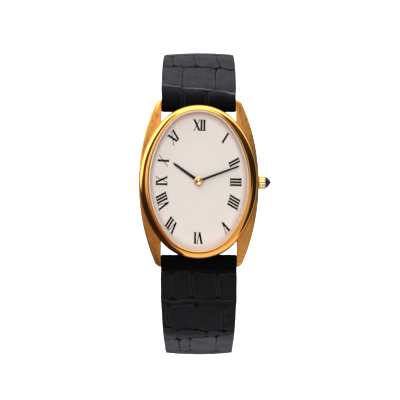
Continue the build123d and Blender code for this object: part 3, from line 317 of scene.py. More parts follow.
def lathe(name: str, profile: Sequence[Flat], steps: int, angle: float,
          stem: Optional[float] = None) -> Piece:
    """Turn a profile round an axis, with its two ends closed on the axis.

    Args:
        name: The piece's name.
        profile: Places of the profile, as a distance along the axis and a radius.
        steps: The number of stations round the axis.
        angle: The angle of the edges that stay crisp, in degrees.
        stem: The height of an axis along X, or None for the hands' axis, along Z.

    Returns:
        The piece.
    """
    def place(along: float, first: float, second: float) -> Point:
        """The point at a distance along the axis and two distances across it."""
        return (first, second, along) if stem is None else (along, first, stem + second)

    rings = [entry for entry in profile if entry[1] > 0]
    turns = [2 * math.pi * step / steps for step in range(steps)]
    points = [place(along, radius * math.cos(turn), radius * math.sin(turn))
              for along, radius in rings for turn in turns]
    faces = ring_faces(len(rings), steps)
    for end, ring, order in ((profile[0], 0, -1), (profile[-1], len(rings) - 1, 1)):
        for step in range(steps):
            pair = (ring * steps + step, ring * steps + (step + 1) % steps)
            faces.append((len(points), *pair[::order]))
        points.append(place(end[0], 0.0, 0.0))
    return crisp(outwards(new_piece(name, points, faces)), angle)


# Finishes


class Bench:
    """The node tree of a material or a world, with short calls to add and join its nodes."""

    def __init__(self, owner: Union[bpy.types.Material, bpy.types.World]) -> None:
        """Start an empty tree.

        Args:
            owner: The material or the world.
        """
        self.owner = owner
        owner.use_nodes = True
        self.tree = owner.node_tree
        self.tree.nodes.clear()

    def add(self, kind: str, inputs: Optional[dict[Union[str, int], object]] = None,
            **values: object) -> Node:
        """Add a node.

        Args:
            kind: The node's type, without its ShaderNode start.
            inputs: What goes into its inputs, a value or another node's output.
            values: Properties of the node.

        Returns:
            The node.
        """
        made = self.tree.nodes.new("ShaderNode" + kind)
        for key, value in values.items():
            setattr(made, key, value)
        for key, value in (inputs or {}).items():
            if isinstance(value, Socket):
                self.join(value, made.inputs[key])
            else:
                made.inputs[key].default_value = value
        return made

    def join(self, source: Socket, target: Socket) -> None:
        """Link two sockets."""
        self.tree.links.new(source, target)

    def shader(self, colour: Colour, metallic: float, roughness: float, **more: object) -> Node:
        """Add the main shader.

        Args:
            colour: The base colour, linear.
            metallic: The share of metal.
            roughness: The surface's roughness.
            more: Other inputs by name, with underlines for blanks.

        Returns:
            The shader node.
        """
        return self.add("BsdfPrincipled", {
            "Base Color": (*colour, 1.0), "Metallic": metallic, "Roughness": roughness,
            **{key.replace("_", " "): value for key, value in more.items()}})

    def place(self, scale: Point) -> Socket:
        """The object's own coordinates, stretched along each axis."""
        return self.add("Mapping", {"Vector": self.add("TexCoord").outputs["Object"],
                                    "Scale": scale}).outputs["Vector"]

    def pattern(self, scale: Union[float, Point], detail: float, rough: float = 0.5) -> Socket:
        """Add a noise over the object's own coordinates.

        Args:
            scale: The stretch along each axis, or along all of them, per metre.
            detail: The noise's detail.
            rough: The noise's roughness.

        Returns:
            The noise's value.
        """
        stretch = scale if isinstance(scale, tuple) else (scale, scale, scale)
        return self.add("TexNoise", {"Vector": self.place(stretch), "Scale": 1.0,
                                     "Detail": detail, "Roughness": rough}).outputs["Fac"]

    def ramp(self, source: Socket, *stops: tuple[float, Colour]) -> Socket:
        """Turn a value into a colour by stops.

        Args:
            source: The value.
            stops: Places from 0 to 1 with their colours.

        Returns:
            The colour.
        """
        made = self.add("ValToRGB", {"Fac": source})
        elements = made.color_ramp.elements
        while len(elements) < len(stops):
            elements.new(0.5)
        for element, (place, colour) in zip(elements, stops):
            element.position = place
            element.color = (*colour, 1.0)
        return made.outputs["Color"]

    def range(self, source: Socket, low: float, high: float, start: float = 0.0,
              end: float = 1.0, kind: str = "LINEAR") -> Socket:
        """Map a value from start and end to low and high."""
        return self.add("MapRange", {
            "Value": source, "From Min": start, "From Max": end, "To Min": low,
            "To Max": high}, interpolation_type=kind).outputs["Result"]

    def colour(self, source: Socket, shader: Node) -> None:
        """Let a colour be a shader's base colour."""
        self.join(source, shader.inputs["Base Color"])

    def roughen(self, source: Socket, shader: Node, low: float, high: float, start: float = 0.0,
                end: float = 1.0) -> None:
        """Let a value from start to end change a shader's roughness from low to high."""
        self.join(self.range(source, low, high, start, end), shader.inputs["Roughness"])

    def bump(self, source: Socket, shader: Node, strength: float, height: float) -> None:
        """Give a shader fine relief of a strength and a full height."""
        relief = self.add("Bump", {"Strength": strength, "Distance": height, "Height": source})
        self.join(relief.outputs["Normal"], shader.inputs["Normal"])

    def blend(self, share: Socket, first: Node, second: Node) -> Node:
        """Mix two shaders by the second one's share."""
        return self.add("MixShader", {"Fac": share, 1: first.outputs[0], 2: second.outputs[0]})

    def finish(self, shader: Node, kind: str = "OutputMaterial") -> bpy.types.ID:
        """End the tree with a shader and give its owner back."""
        self.add(kind, {"Surface": shader.outputs[0]})
        return self.owner


@dataclass(frozen=True)
class Coating:
    """What every finish has.

    Attributes:
        name: The material's name.
        colour: Its main colour, linear.
    """

    name: str
    colour: Colour

    def bench(self) -> Bench:
        """Start the finish's material."""
        return Bench(bpy.data.materials.new(self.name))


@dataclass(frozen=True)
class PolishedMetal(Coating):
    """A mirror-polished metal with faint wear.

    Attributes:
        low_roughness: The roughness of its smoothest spots.
        high_roughness: The roughness of its most worn spots.
    """

    low_roughness: float = 0.05
    high_roughness: float = 0.13

    def material(self) -> bpy.types.Material:
        """Build the finish.

        Returns:
            The material.
        """
        bench = self.bench()
        shader = bench.shader(self.colour, 1.0, self.low_roughness)
        wear = bench.pattern(900.0, 4.0)
        bench.roughen(wear, shader, self.low_roughness, self.high_roughness, 0.4, 0.75)
        scratches = bench.pattern((500.0, 6000.0, 500.0), 2.0)
        bench.bump(scratches, shader, 0.04, 0.01 * MM)
        return bench.finish(shader)


@dataclass(frozen=True)
class BrushedMetal(Coating):
    """A metal with fine lines along one axis, or with an even grain.

    Attributes:
        dark: The colour in the lines' depth.
        grain: The lines' stretch along each axis, per metre.
        roughness: The mean roughness.
        relief: The strength of the lines' relief.
    """

    dark: Colour
    grain: Union[float, Point] = (9000.0, 160.0, 9000.0)
    roughness: float = 0.34
    relief: float = 0.25

    def material(self) -> bpy.types.Material:
        """Build the finish.

        Returns:
            The material.
        """
        bench = self.bench()
        shader = bench.shader(self.colour, 1.0, self.roughness)
        lines = bench.pattern(self.grain, 3.0)
        bench.colour(bench.ramp(lines, (0.3, self.dark), (0.62, self.colour)), shader)
        bench.roughen(lines, shader, self.roughness - 0.08, self.roughness + 0.1, 0.3, 0.7)
        bench.bump(lines, shader, self.relief, 0.02 * MM)
        return bench.finish(shader)


@dataclass(frozen=True)
class StripedPlate(Coating):
    """Nickel-plated bridges with broad polished stripes.

    Attributes:
        pitch: The stripes' width.
    """

    pitch: float = 1.4 * MM

    def material(self) -> bpy.types.Material:
        """Build the finish.

        Returns:
            The material.
        """
        bench = self.bench()
        shader = bench.shader(self.colour, 1.0, 0.22)
        stripes = bench.add("TexWave", {"Vector": bench.add("TexCoord").outputs["Object"],
                                        "Scale": 1 / self.pitch / 6}, wave_type="BANDS",
                            bands_direction="DIAGONAL", wave_profile="SAW").outputs["Fac"]
        bench.roughen(stripes, shader, 0.16, 0.36)
        bench.bump(stripes, shader, 0.12, 0.05 * MM)
        return bench.finish(shader)


@dataclass(frozen=True)
class SilveredDial(Coating):
    """A pale silvered dial with a faint warm cast and a fine grain, lightened towards its edge by
    painted light.

    Attributes:
        rim: The lighter colour towards the edge, painted light against the shade under the bezel.
        half_length: Half the dial's length.
        slimness: The dial's length over its width.
    """

    rim: Colour
    half_length: float = 16.8 * MM
    slimness: float = 1.35

    def material(self) -> bpy.types.Material:
        """Build the finish.

        Returns:
            The material.
        """
        bench = self.bench()
        shader = bench.shader(self.colour, 0.12, 0.42)
        stretch = 1.0 / self.half_length
        distance = bench.add("VectorMath", {
            0: bench.place((self.slimness * stretch, stretch, 0.0))}, operation="LENGTH")
        # Lighter towards the edge: painted light against the shade under the bezel.
        bench.colour(bench.ramp(distance.outputs["Value"], (0.0, self.colour),
                                (0.72, self.colour), (1.0, self.rim)), shader)
        bench.bump(bench.pattern((16000.0, 900.0, 900.0), 2.0), shader, 0.05, 0.01 * MM)
        return bench.finish(shader)


@dataclass(frozen=True)
class Lacquer(Coating):
    """A glossy lacquer with a trace of unevenness.

    Attributes:
        roughness: The surface's roughness.
        gloss: The strength of its reflections.
    """

    roughness: float
    gloss: float

    def material(self) -> bpy.types.Material:
        """Build the finish.

        Returns:
            The material.
        """
        bench = self.bench()
        shader = bench.shader(self.colour, 0.0, self.roughness, Specular_IOR_Level=self.gloss)
        grain = bench.pattern(2500.0, 2.0)
        bench.roughen(grain, shader, self.roughness - 0.06, self.roughness + 0.08)
        return bench.finish(shader)


@dataclass(frozen=True)
class Stone(Coating):
    """A polished stone, such as a blue cabochon or a ruby.

    Attributes:
        veins: A lighter colour inside the stone.
        gloss: The strength of its reflections.
    """

    veins: Colour
    gloss: float = 0.5

    def material(self) -> bpy.types.Material:
        """Build the finish.

        Returns:
            The material.
        """
        bench = self.bench()
        shader = bench.shader(self.colour, 0.0, 0.06, Coat_Weight=self.gloss,
                              Specular_IOR_Level=self.gloss, IOR=1.77)
        clouds = bench.pattern(1400.0, 4.0)
        bench.colour(bench.ramp(clouds, (0.45, self.colour), (0.8, self.veins)), shader)
        return bench.finish(shader)


@dataclass(frozen=True)
class ClearCrystal(Coating):
    """A clear crystal that only shows by its reflections.

    Attributes:
        gain: The strength of its reflections.
    """

    gain: float = 0.22

    def material(self) -> bpy.types.Material:
        """Build the finish.

        Returns:
            The material.
        """
        bench = self.bench()
        clear = bench.add("BsdfTransparent", {"Color": (*self.colour, 1.0)})
        gloss = bench.add("BsdfGlossy", {"Roughness": 0.02})
        edge = bench.add("Fresnel", {"IOR": 1.45})
        share = bench.range(edge.outputs["Fac"], 0.0, self.gain)
        return bench.finish(bench.blend(share, clear, gloss))


@dataclass(frozen=True)
class BevelledCrystal(Coating):
    """The crystal's bevel, painted as a pale veil where the real bevel bends the light.

    Attributes:
        veil: The share of the painted veil.
    """

    veil: float = 0.70

    def material(self) -> bpy.types.Material:
        """Build the finish.

        Returns:
            The material.
        """
        bench = self.bench()
        clear = bench.add("BsdfTransparent")
        # The pale veil is painted light in place of the light that the bevel bends.
        veil = bench.shader(self.colour, 0.0, 0.3)
        share = bench.range(bench.pattern(300.0, 2.0), self.veil - 0.1, self.veil + 0.1)
        return bench.finish(bench.blend(share, clear, veil))


@dataclass(frozen=True)
class Leather(Coating):
    """A glazed leather with pores and, where the mesh has it, painted shade in the creases between
    scales.

    Attributes:
        groove: The colour painted into the creases as shade.
        grey_and_sheen: The colour where the leather is bent, some greying and a painted sheen.
        gloss: The strength of its reflections.
        roughness: The mean roughness.
        pore_size: The pores' scale, per metre.
    """

    groove: Colour
    grey_and_sheen: Colour
    gloss: float
    roughness: float
    pore_size: float = 4200.0

    def material(self) -> bpy.types.Material:
        """Build the finish.

        Returns:
            The material.
        """
        bench = self.bench()
        shader = bench.shader(self.colour, 0.0, self.roughness, Specular_IOR_Level=self.gloss)
        # Mesh attributes paint the colour: shade in the creases and, where the strap bends, a sheen
        # with some greying.
        grey_and_sheen_share, crease_shade_share = (bench.add("Attribute", attribute_name=name).outputs["Fac"]
                           for name in ("grey_and_sheen", "groove"))
        patches = bench.range(bench.pattern(500.0, 5.0, 0.6), 0.8, 1.2, 0.3, 0.7)
        share = bench.add("Math", {0: grey_and_sheen_share, 1: patches}, operation="MULTIPLY")
        tone = bench.ramp(share.outputs["Value"], (0.0, self.colour), (1.0, self.grey_and_sheen))
        bench.colour(bench.add("MixRGB", {"Fac": crease_shade_share, "Color1": tone,
                                          "Color2": (*self.groove, 1.0)}).outputs["Color"], shader)
        pores = bench.pattern(self.pore_size, 4.0)
        bench.roughen(pores, shader, self.roughness - 0.1, self.roughness + 0.12)
        bench.bump(pores, shader, 0.35, 0.06 * MM)
        return bench.finish(shader)


class Finish(Enum):
    """Every finish of the watch, by what it is put on."""

    POLISHED_GOLD = PolishedMetal("polished_gold", (0.95, 0.43, 0.105))
    PALE_GOLD = PolishedMetal("pale_gold", (0.96, 0.75, 0.38))
    BRUSHED_GOLD = BrushedMetal("brushed_gold", (0.84, 0.38, 0.09), (0.62, 0.25, 0.05))
    # The dial's second, lighter colour is painted light at its edge.
    DIAL = SilveredDial("silvered_dial", (0.60, 0.555, 0.505), (0.69, 0.625, 0.585))
    PRINT = Lacquer("black_print", (0.003, 0.0025, 0.0025), 0.5, 0.06)
    HAND = Lacquer("black_lacquer", (0.006, 0.004, 0.004), 0.3, 0.14)
    CRYSTAL = ClearCrystal("clear_crystal", (0.985, 0.985, 0.99))
    # The bevel's pale colour is a painted veil of light.
    CRYSTAL_RIM = BevelledCrystal("crystal_bevel", (0.70, 0.62, 0.52))
    BLUE_STONE = Stone("blue_stone", (0.003, 0.004, 0.02), (0.012, 0.014, 0.05), 0.12)
    RUBY = Stone("ruby", (0.45, 0.01, 0.06), (0.8, 0.05, 0.15))
    # The strap's second colour is painted shade for its creases; its third is a painted sheen, with
    # some greying, for its bends.
    STRAP = Leather("strap_leather", (0.0010, 0.0010, 0.0011), (0.0003, 0.0003, 0.0003),
                    (0.150, 0.1425, 0.1675), 0.02, 0.36)
    LINING = Leather("lining_leather", (0.050, 0.042, 0.038), (0.02, 0.016, 0.014),
                     (0.075, 0.064, 0.058), 0.3, 0.62, 6500.0)
    STEEL = BrushedMetal("ground_steel", (0.62, 0.62, 0.64), (0.42, 0.42, 0.44), 4000.0, 0.28, 0.1)
    BLUED_STEEL = BrushedMetal("blued_steel", (0.05, 0.09, 0.32), (0.03, 0.05, 0.2), 4000.0, 0.2,
                               0.05)
    NICKEL = StripedPlate("striped_nickel", (0.70, 0.69, 0.66))
    BRASS = BrushedMetal("grained_brass", (0.78, 0.62, 0.32), (0.60, 0.45, 0.2), 3000.0, 0.3, 0.15)


class FinishShelf:
    """The finishes that are built, each once."""

    def __init__(self) -> None:
        """Start with an empty shelf."""
        self.built: dict[Finish, bpy.types.Material] = {}

    def get(self, finish: Finish) -> bpy.types.Material:
        """The material of a finish, built when first asked for.

        Args:
            finish: The finish.

        Returns:
            Its material.
        """
        if finish not in self.built:
            self.built[finish] = finish.value.material()
        return self.built[finish]

    def dress(self, piece: Piece, finish: Finish) -> None:
        """Give a piece one finish all over."""
        piece.data.materials.clear()
        piece.data.materials.append(self.get(finish))

    def dress_node(self, node: str, finish: Finish) -> None:
        """Give a node of the solid model a finish, with its mesh as it is.

        Args:
            node: The node's name.
            finish: Its finish.
        """
        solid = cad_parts[node]
        if not solid.material_slots:
            solid.data.materials.append(self.get(finish))
        for holder in solid.material_slots:
            holder.link = "OBJECT"
            holder.material = self.get(finish)


SHELF = FinishShelf()


def place_piece(piece: Piece, finish: Finish, body: str,
                nodes: Iterable[str] = ()) -> None:
    """Dress a piece, let it ride on a body and stand for nodes.

    Args:
        piece: The mesh object.
        finish: Its finish.
        body: The body that carries it.
        nodes: The nodes that it stands for.
    """
    SHELF.dress(piece, finish)
    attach(piece, body)
    for node in nodes:
        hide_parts(node)
    LOG.info("%s: %d faces on %s", piece.name, len(piece.data.polygons), body)


# Case


@dataclass
class Case:
    """The polished bezel, the crystal on its lip and the brushed middle with its lugs.

    Attributes:
        bezel: The bezel's outer oval.
        opening: The bezel's inner oval.
        body: The case body's oval.
        cavity: The case's inner oval.
        lug_gap: The gap between a pair of lugs.
        lug_reach: The distance from the centre to the lugs' tips.
        tip_width: A lug's width at its tip.
        tip_drop: How far the lugs' tips lie below the case's top.
        shoulder: The distance along the case where the lugs start to fall.
        lip: The width of the crystal's seat.
        stations: The number of stations round an oval.
    """

    bezel: Oval
    opening: Oval
    body: Oval
    cavity: Oval
    lug_gap: float = 18.0 * MM
    lug_reach: float = 20.05 * MM
    tip_width: float = 1.0 * MM
    tip_drop: float = 0.95 * MM
    shoulder: float = 9.5 * MM
    lip: float = 0.35 * MM
    stations: int = 288

    def build(self) -> None:
        """Make and dress the case's pieces."""
        self.make_bezel()
        self.make_crystal()
        self.make_middle()
        back = rounded_copy("case_back_plate", "case_back", 0.12 * MM)
        place_piece(back, Finish.BRUSHED_GOLD, "case", ["case_back"])
        SHELF.dress_node("crown_tube", Finish.STEEL)

    def make_bezel(self) -> None:
        """Make the domed ring, with a crisp lip inside."""
        low, high = (corner.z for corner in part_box("bezel"))
        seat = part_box("crystal")[0].z - 0.05 * MM
        wall_share, crest_share, crest_drop = 0.16, 0.79, 0.16 * MM
        lip_share = 1 - self.lip / (self.bezel.half_width - self.opening.half_width)
        edge = between(low, high, wall_share)
        profile = [(0.0, low), (0.0, edge)]
        profile += [(crest_share * inwards, edge + (high - edge) * rise)
                    for rise, inwards in quarter_turn(24)]
        profile += [(crest_share + (lip_share - crest_share) * inwards, high - crest_drop * drop)
                    for inwards, drop in quarter_turn(6)]
        profile += [(lip_share, seat), (1.0, seat), (1.0, low)]
        ring = oval_band("bezel_ring", self.bezel, self.opening, profile, self.stations, 40.0)
        place_piece(ring, Finish.POLISHED_GOLD, "case", ["bezel"])

    def make_crystal(self) -> None:
        """Make the domed crystal and its bevelled rim."""
        low, high = (corner.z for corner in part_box("crystal"))
        fit, wall, bevel, rise = 0.04 * MM, 0.38 * MM, 0.32 * MM, 0.25 * MM
        outline = Oval(self.opening.half_width + self.lip - fit,
                       self.opening.half_length + self.lip - fit)
        inside = Oval(outline.half_width - bevel, outline.half_length - bevel)
        rim = oval_band("crystal_rim", outline, inside,
                        [(0.0, low), (0.0, low + wall), (0.12, low + wall + rise * 0.3),
                         (1.0, low + wall + rise), (1.0, low)], self.stations)
        place_piece(rim, Finish.CRYSTAL_RIM, "case", ["crystal"])
        rings, count = 18, self.stations
        points = inside.ring(count, 1.0, low)
        for ring in range(rings):
            share = 1 - (ring / rings) ** 2
            points += inside.ring(count, share, low + wall + rise + (high - low - wall - rise)
                                  * (1 - share**2))
        faces = ring_faces(rings + 1, count)
        faces.append(tuple(range(count))[::-1])
        faces.append(tuple(range(rings * count, (rings + 1) * count)))
        dome = crisp(outwards(new_piece("crystal_dome", points, faces)))
        place_piece(dome, Finish.CRYSTAL, "case", ["crystal"])

    def flank(self, along: float) -> float:
        """The distance from the middle to the case's flank.

        Args:
            along: The distance towards 12 or 6 o'clock.

        Returns:
            The flank's distance across.
        """
        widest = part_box("case_middle")[1].x
        rise = widest - (self.lug_gap / 2 + self.tip_width)
        radius = (self.lug_reach**2 + rise**2) / rise / 2
        return widest - radius + math.sqrt(radius**2 - along**2)

    def top(self, along: float) -> float:
        """The case's height at a distance along it, towards 12 or 6 o'clock."""
        share = (abs(along) - self.shoulder) / (self.lug_reach - self.shoulder)
        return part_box("case_middle")[1].z - self.tip_drop * max(0.0, share) ** 1.6

    def make_middle(self) -> None:
        """Make the oval body and, on each side, the wing that ends in two lugs."""
        low, high = (corner.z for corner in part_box("case_middle"))
        body = oval_band("case_body", self.body, self.cavity,
                         [(0.0, low), (0.0, high), (1.0, high), (1.0, low)], self.stations)
        wings = (self.wing("case_wing_crown", 1, low), self.wing("case_wing_left", -1, low))
        for piece in (body, *wings):
            place_piece(piece, Finish.BRUSHED_GOLD, "case", ["case_middle"])

    def wing(self, name: str, side: int, low: float) -> Piece:
        """Make one side wing: a bar along the case's flank that ends in a lug at both ends.

        Args:
            name: The piece's name.
            side: 1 for the crown's side and -1 for the other.
            low: The case's lowest height.

        Returns:
            The wing.
        """
        stations, overlap, tip, tip_gap, tip_fall = 128, 0.6 * MM, 0.8 * MM, 0.3 * MM, 0.35 * MM
        slope, edge, chamfer = 0.35 * MM, 0.42 * MM, 0.06 * MM
        foot_inset, foot_height, foot_chamfer = 0.35 * MM, 0.5 * MM, 0.1 * MM
        points = []
        for station in range(stations + 1):
            along = -self.lug_reach * math.cos(math.pi * station / stations)
            inner = max(self.lug_gap / 2, self.body.half_width_at(along) - overlap)
            past = max(0.0, (abs(along) - self.lug_reach + tip) / tip)
            fall = 1 - math.sqrt(max(0.0, 1 - past**2))
            outer = self.flank(along)
            outer -= fall * (outer - inner - tip_gap)
            top = self.top(along) - tip_fall * fall
            edge_here = min(edge, (outer - inner) / 2)
            section = [(inner, low + foot_chamfer), (inner, top - chamfer), (inner + chamfer, top)]
            section += [(between(inner + chamfer, outer - edge_here, share),
                         top - slope * share**1.5) for share in (0.25, 0.5, 0.75, 1.0)]
            section += [(outer - edge_here * (1 - reach), top - slope - edge_here * drop)
                        for reach, drop in quarter_turn(8)]
            section += [(outer - foot_inset * 0.2, low + foot_height), (outer - foot_inset, low),
                        (inner + foot_chamfer, low)]
            points += [(side * across, along, height) for across, height in section]
        size = len(points) // (stations + 1)
        faces = ring_faces(stations + 1, size)
        faces.append(tuple(range(size)))
        faces.append(tuple(range(stations * size, (stations + 1) * size))[::-1])
        return crisp(outwards(new_piece(name, points, faces)), 38.0)


# Dial


Stroke = tuple[Flat, Flat, float]


@dataclass
class Numerals:
    """Thin Roman numerals, printed on the dial with their feet towards the centre.

    Attributes:
        height: The height of a numeral.
        thick: The width of its broad strokes.
        thin: The width of its fine strokes and serifs.
        v_width: The width of a V.
        x_width: The width of an X.
        gap: The gap between two upright strokes.
        serif: How far a serif reaches past its stroke.
        lift: How far the print stands proud of the dial.
    """

    height: float = 2.75 * MM
    thick: float = 0.49 * MM
    thin: float = 0.18 * MM
    v_width: float = 1.12 * MM
    x_width: float = 1.28 * MM
    gap: float = 0.20 * MM
    serif: float = 0.13 * MM
    lift: float = 0.012 * MM

    def advance(self, letter: str) -> float:
        """The width that a letter takes."""
        return {"I": self.thick, "V": self.v_width, "X": self.x_width}[letter]

    def strokes(self, letter: str, left: float) -> list[Stroke]:
        """The strokes of a letter.

        Args:
            letter: I, V or X.
            left: Where the letter starts.

        Returns:
            Each stroke's start, end and width.
        """
        right = left + self.advance(letter)
        middle = (left + right) / 2
        top, foot = self.height / 2, -self.height / 2
        if letter == "I":
            return [((middle, foot), (middle, top), self.thick)]
        ends = (middle, middle) if letter == "V" else (right, left)
        return [((left, top), (ends[0], foot), self.thick),
                ((right, top), (ends[1], foot), self.thin)]

    def serifs(self, letter: str, left: float) -> list[Stroke]:
        """The fine flat ends of a letter's strokes.

        Args:
            letter: I, V or X.
            left: Where the letter starts.

        Returns:
            Each serif's start, end and width.
        """
        ends = []
        for start, end, width in self.strokes(letter, left):
            for across, level in (start, end):
                if letter == "V" and level < 0:
                    continue
                level = math.copysign((self.height - self.thin) / 2, level)
                reach = width / 2 + self.serif
                ends.append(((across - reach, level), (across + reach, level), self.thin * 0.7))
        return ends

    def outline(self, text: str) -> list[list[Flat]]:
        """The corner points of every stroke of a numeral, centred on its own place.

        Args:
            text: The numeral, in capitals.

        Returns:
            One list of four corners for each stroke.
        """
        width = sum(self.advance(letter) for letter in text) + self.gap * (len(text) - 1)
        left = -width / 2
        shapes = []
        for letter in text:
            for start, end, thickness in self.strokes(letter, left) + self.serifs(letter, left):
                rise = abs(end[1] - start[1])
                side = (0.0, thickness / 2)
                if rise >= MM / 1000:
                    lean = math.hypot(end[0] - start[0], rise) / rise
                    side = (thickness / 2 * lean, 0.0)
                shapes.append([(place[0] + sign * side[0], place[1] + sign * side[1])
                               for place, sign in ((start, -1), (start, 1), (end, 1), (end, -1))])
            left += self.advance(letter) + self.gap
        return shapes


@dataclass
class Dial:
    """The silvered dial, softly turned down at its rim, with its printed hours and its hands.

    Attributes:
        outline: The dial's oval.
        rim_share: The share of the way to the rim where the dial starts to turn down.
        rim_drop: How far the dial turns down at its rim.
        hole: The share of the dial's size that its hole takes.
        collar: The radius of the hour hand's collar.
        print_shape: The shape of the numerals.
        hours: Each numeral with its centre, in millimetres across and along the dial.
    """

    outline: Oval
    rim_share: float = 0.88
    rim_drop: float = 0.22 * MM
    hole: float = 0.07
    collar: float = 1.12 * MM
    print_shape: Numerals = field(default_factory=Numerals)
    hours: tuple[tuple[str, float, float], ...] = (
        ("XII", 0.26, 13.6), ("I", 6.35, 10.5), ("II", 8.45, 4.6), ("III", 8.8, -0.2),
        ("IIII", 8.3, -5.0), ("V", 6.2, -11.0), ("VI", -0.2, -13.5), ("VII", -6.5, -10.4),
        ("VIII", -8.6, -4.6), ("IX", -8.8, 0.1), ("X", -8.4, 5.0), ("XI", -6.0, 10.7))

    def build(self) -> None:
        """Make and dress the dial's pieces."""
        self.make_plate()
        self.make_print()
        self.make_hand("hour_hand", 0.07 * MM)
        self.make_hand("minute_hand", 0.04 * MM)
        self.make_hub()

    def make_hand(self, node: str, fuller: float) -> None:
        """Make a hand with softly rounded edges, a little fuller than its solid.

        Args:
            node: The hand's node, which is also its body.
            fuller: How much wider it is at either side.
        """
        leaf = rounded_copy(node + "_leaf", node, 0.03 * MM, segments=2)
        for vertex in leaf.data.vertices:
            sideways = Vector((vertex.normal.x, vertex.normal.y, 0.0))
            if sideways.length > 0.1:
                vertex.co += fuller * sideways.normalized()
        place_piece(leaf, Finish.HAND, node, [node])

    def make_plate(self) -> None:
        """Make the dial's plate, with a hole for the hands' pipes."""
        low, high = (corner.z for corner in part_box("dial"))
        count, rings = 192, 26
        points = []
        for ring in range(rings):
            share = self.hole + (1 - self.hole) * ring / (rings - 1)
            turned = smooth_step((share - self.rim_share) / (1 - self.rim_share))
            points += self.outline.ring(count, share, high - self.rim_drop * turned)
        points += self.outline.ring(count, 1.0, low) + self.outline.ring(count, self.hole, low)
        plate = crisp(outwards(new_piece("dial_plate", points,
                                         ring_faces(rings + 2, count, True))))
        place_piece(plate, Finish.DIAL, "case", ["dial"])

    def make_print(self) -> None:
        """Print the twelve hours."""
        points, faces = [], []
        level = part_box("dial")[1].z
        for text, across, along in self.hours:
            centre = Vector((across * MM, along * MM))
            outward = centre.normalized()
            rim = Vector((centre.x / self.outline.half_width**2,
                          centre.y / self.outline.half_length**2)).normalized()
            tangent = Vector((rim.y, -rim.x))
            for corners_of_stroke in self.print_shape.outline(text):
                start = len(points)
                for height in (level, level + self.print_shape.lift):
                    for corner in corners_of_stroke:
                        spot = centre + tangent * corner[0] + outward * corner[1]
                        points.append((spot.x, spot.y, height))
                faces.append((start + 3, start + 2, start + 1, start))
                faces.append((start + 4, start + 5, start + 6, start + 7))
                for number in range(4):
                    here, after = start + number, start + (number + 1) % 4
                    faces.append((here, after, after + 4, here + 4))
        printed = outwards(new_piece("dial_numerals", points, faces, smooth=False), merge=False)
        place_piece(printed, Finish.PRINT, "case")

    def make_hub(self) -> None:
        """Make the polished cap over the hands, with a rounded rim and a centre pin."""
        below, above = (corner.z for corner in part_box("hour_hand"))
        inset = self.collar - 0.05 * MM
        collar = lathe("hour_collar", [(below, 0.0), (below, inset),
                                       (between(below, above, 0.5), self.collar),
                                       (above, inset), (above, 0.0)], 64, 50.0)
        place_piece(collar, Finish.POLISHED_GOLD, "hour_hand")
        low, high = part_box("hub_cap")
        radius, rise = high.x, high.z - low.z
        step = radius / 10
        profile = [(low.z, 0.0), (low.z, radius - step), (low.z + rise * 0.2, radius),
                   (low.z + rise * 0.55, radius), (high.z - rise * 0.15, radius - step / 2),
                   (high.z - rise * 0.05, radius - step * 1.5), (high.z - rise * 0.1, radius * 0.6),
                   (high.z - rise * 0.35, radius * 0.52), (high.z - rise * 0.3, radius * 0.3),
                   (high.z, radius * 0.22), (high.z, 0.0)]
        place_piece(lathe("hub_disc", profile, 64, 50.0), Finish.PALE_GOLD, "minute_hand",
                    ["hub_cap"])


# Crown


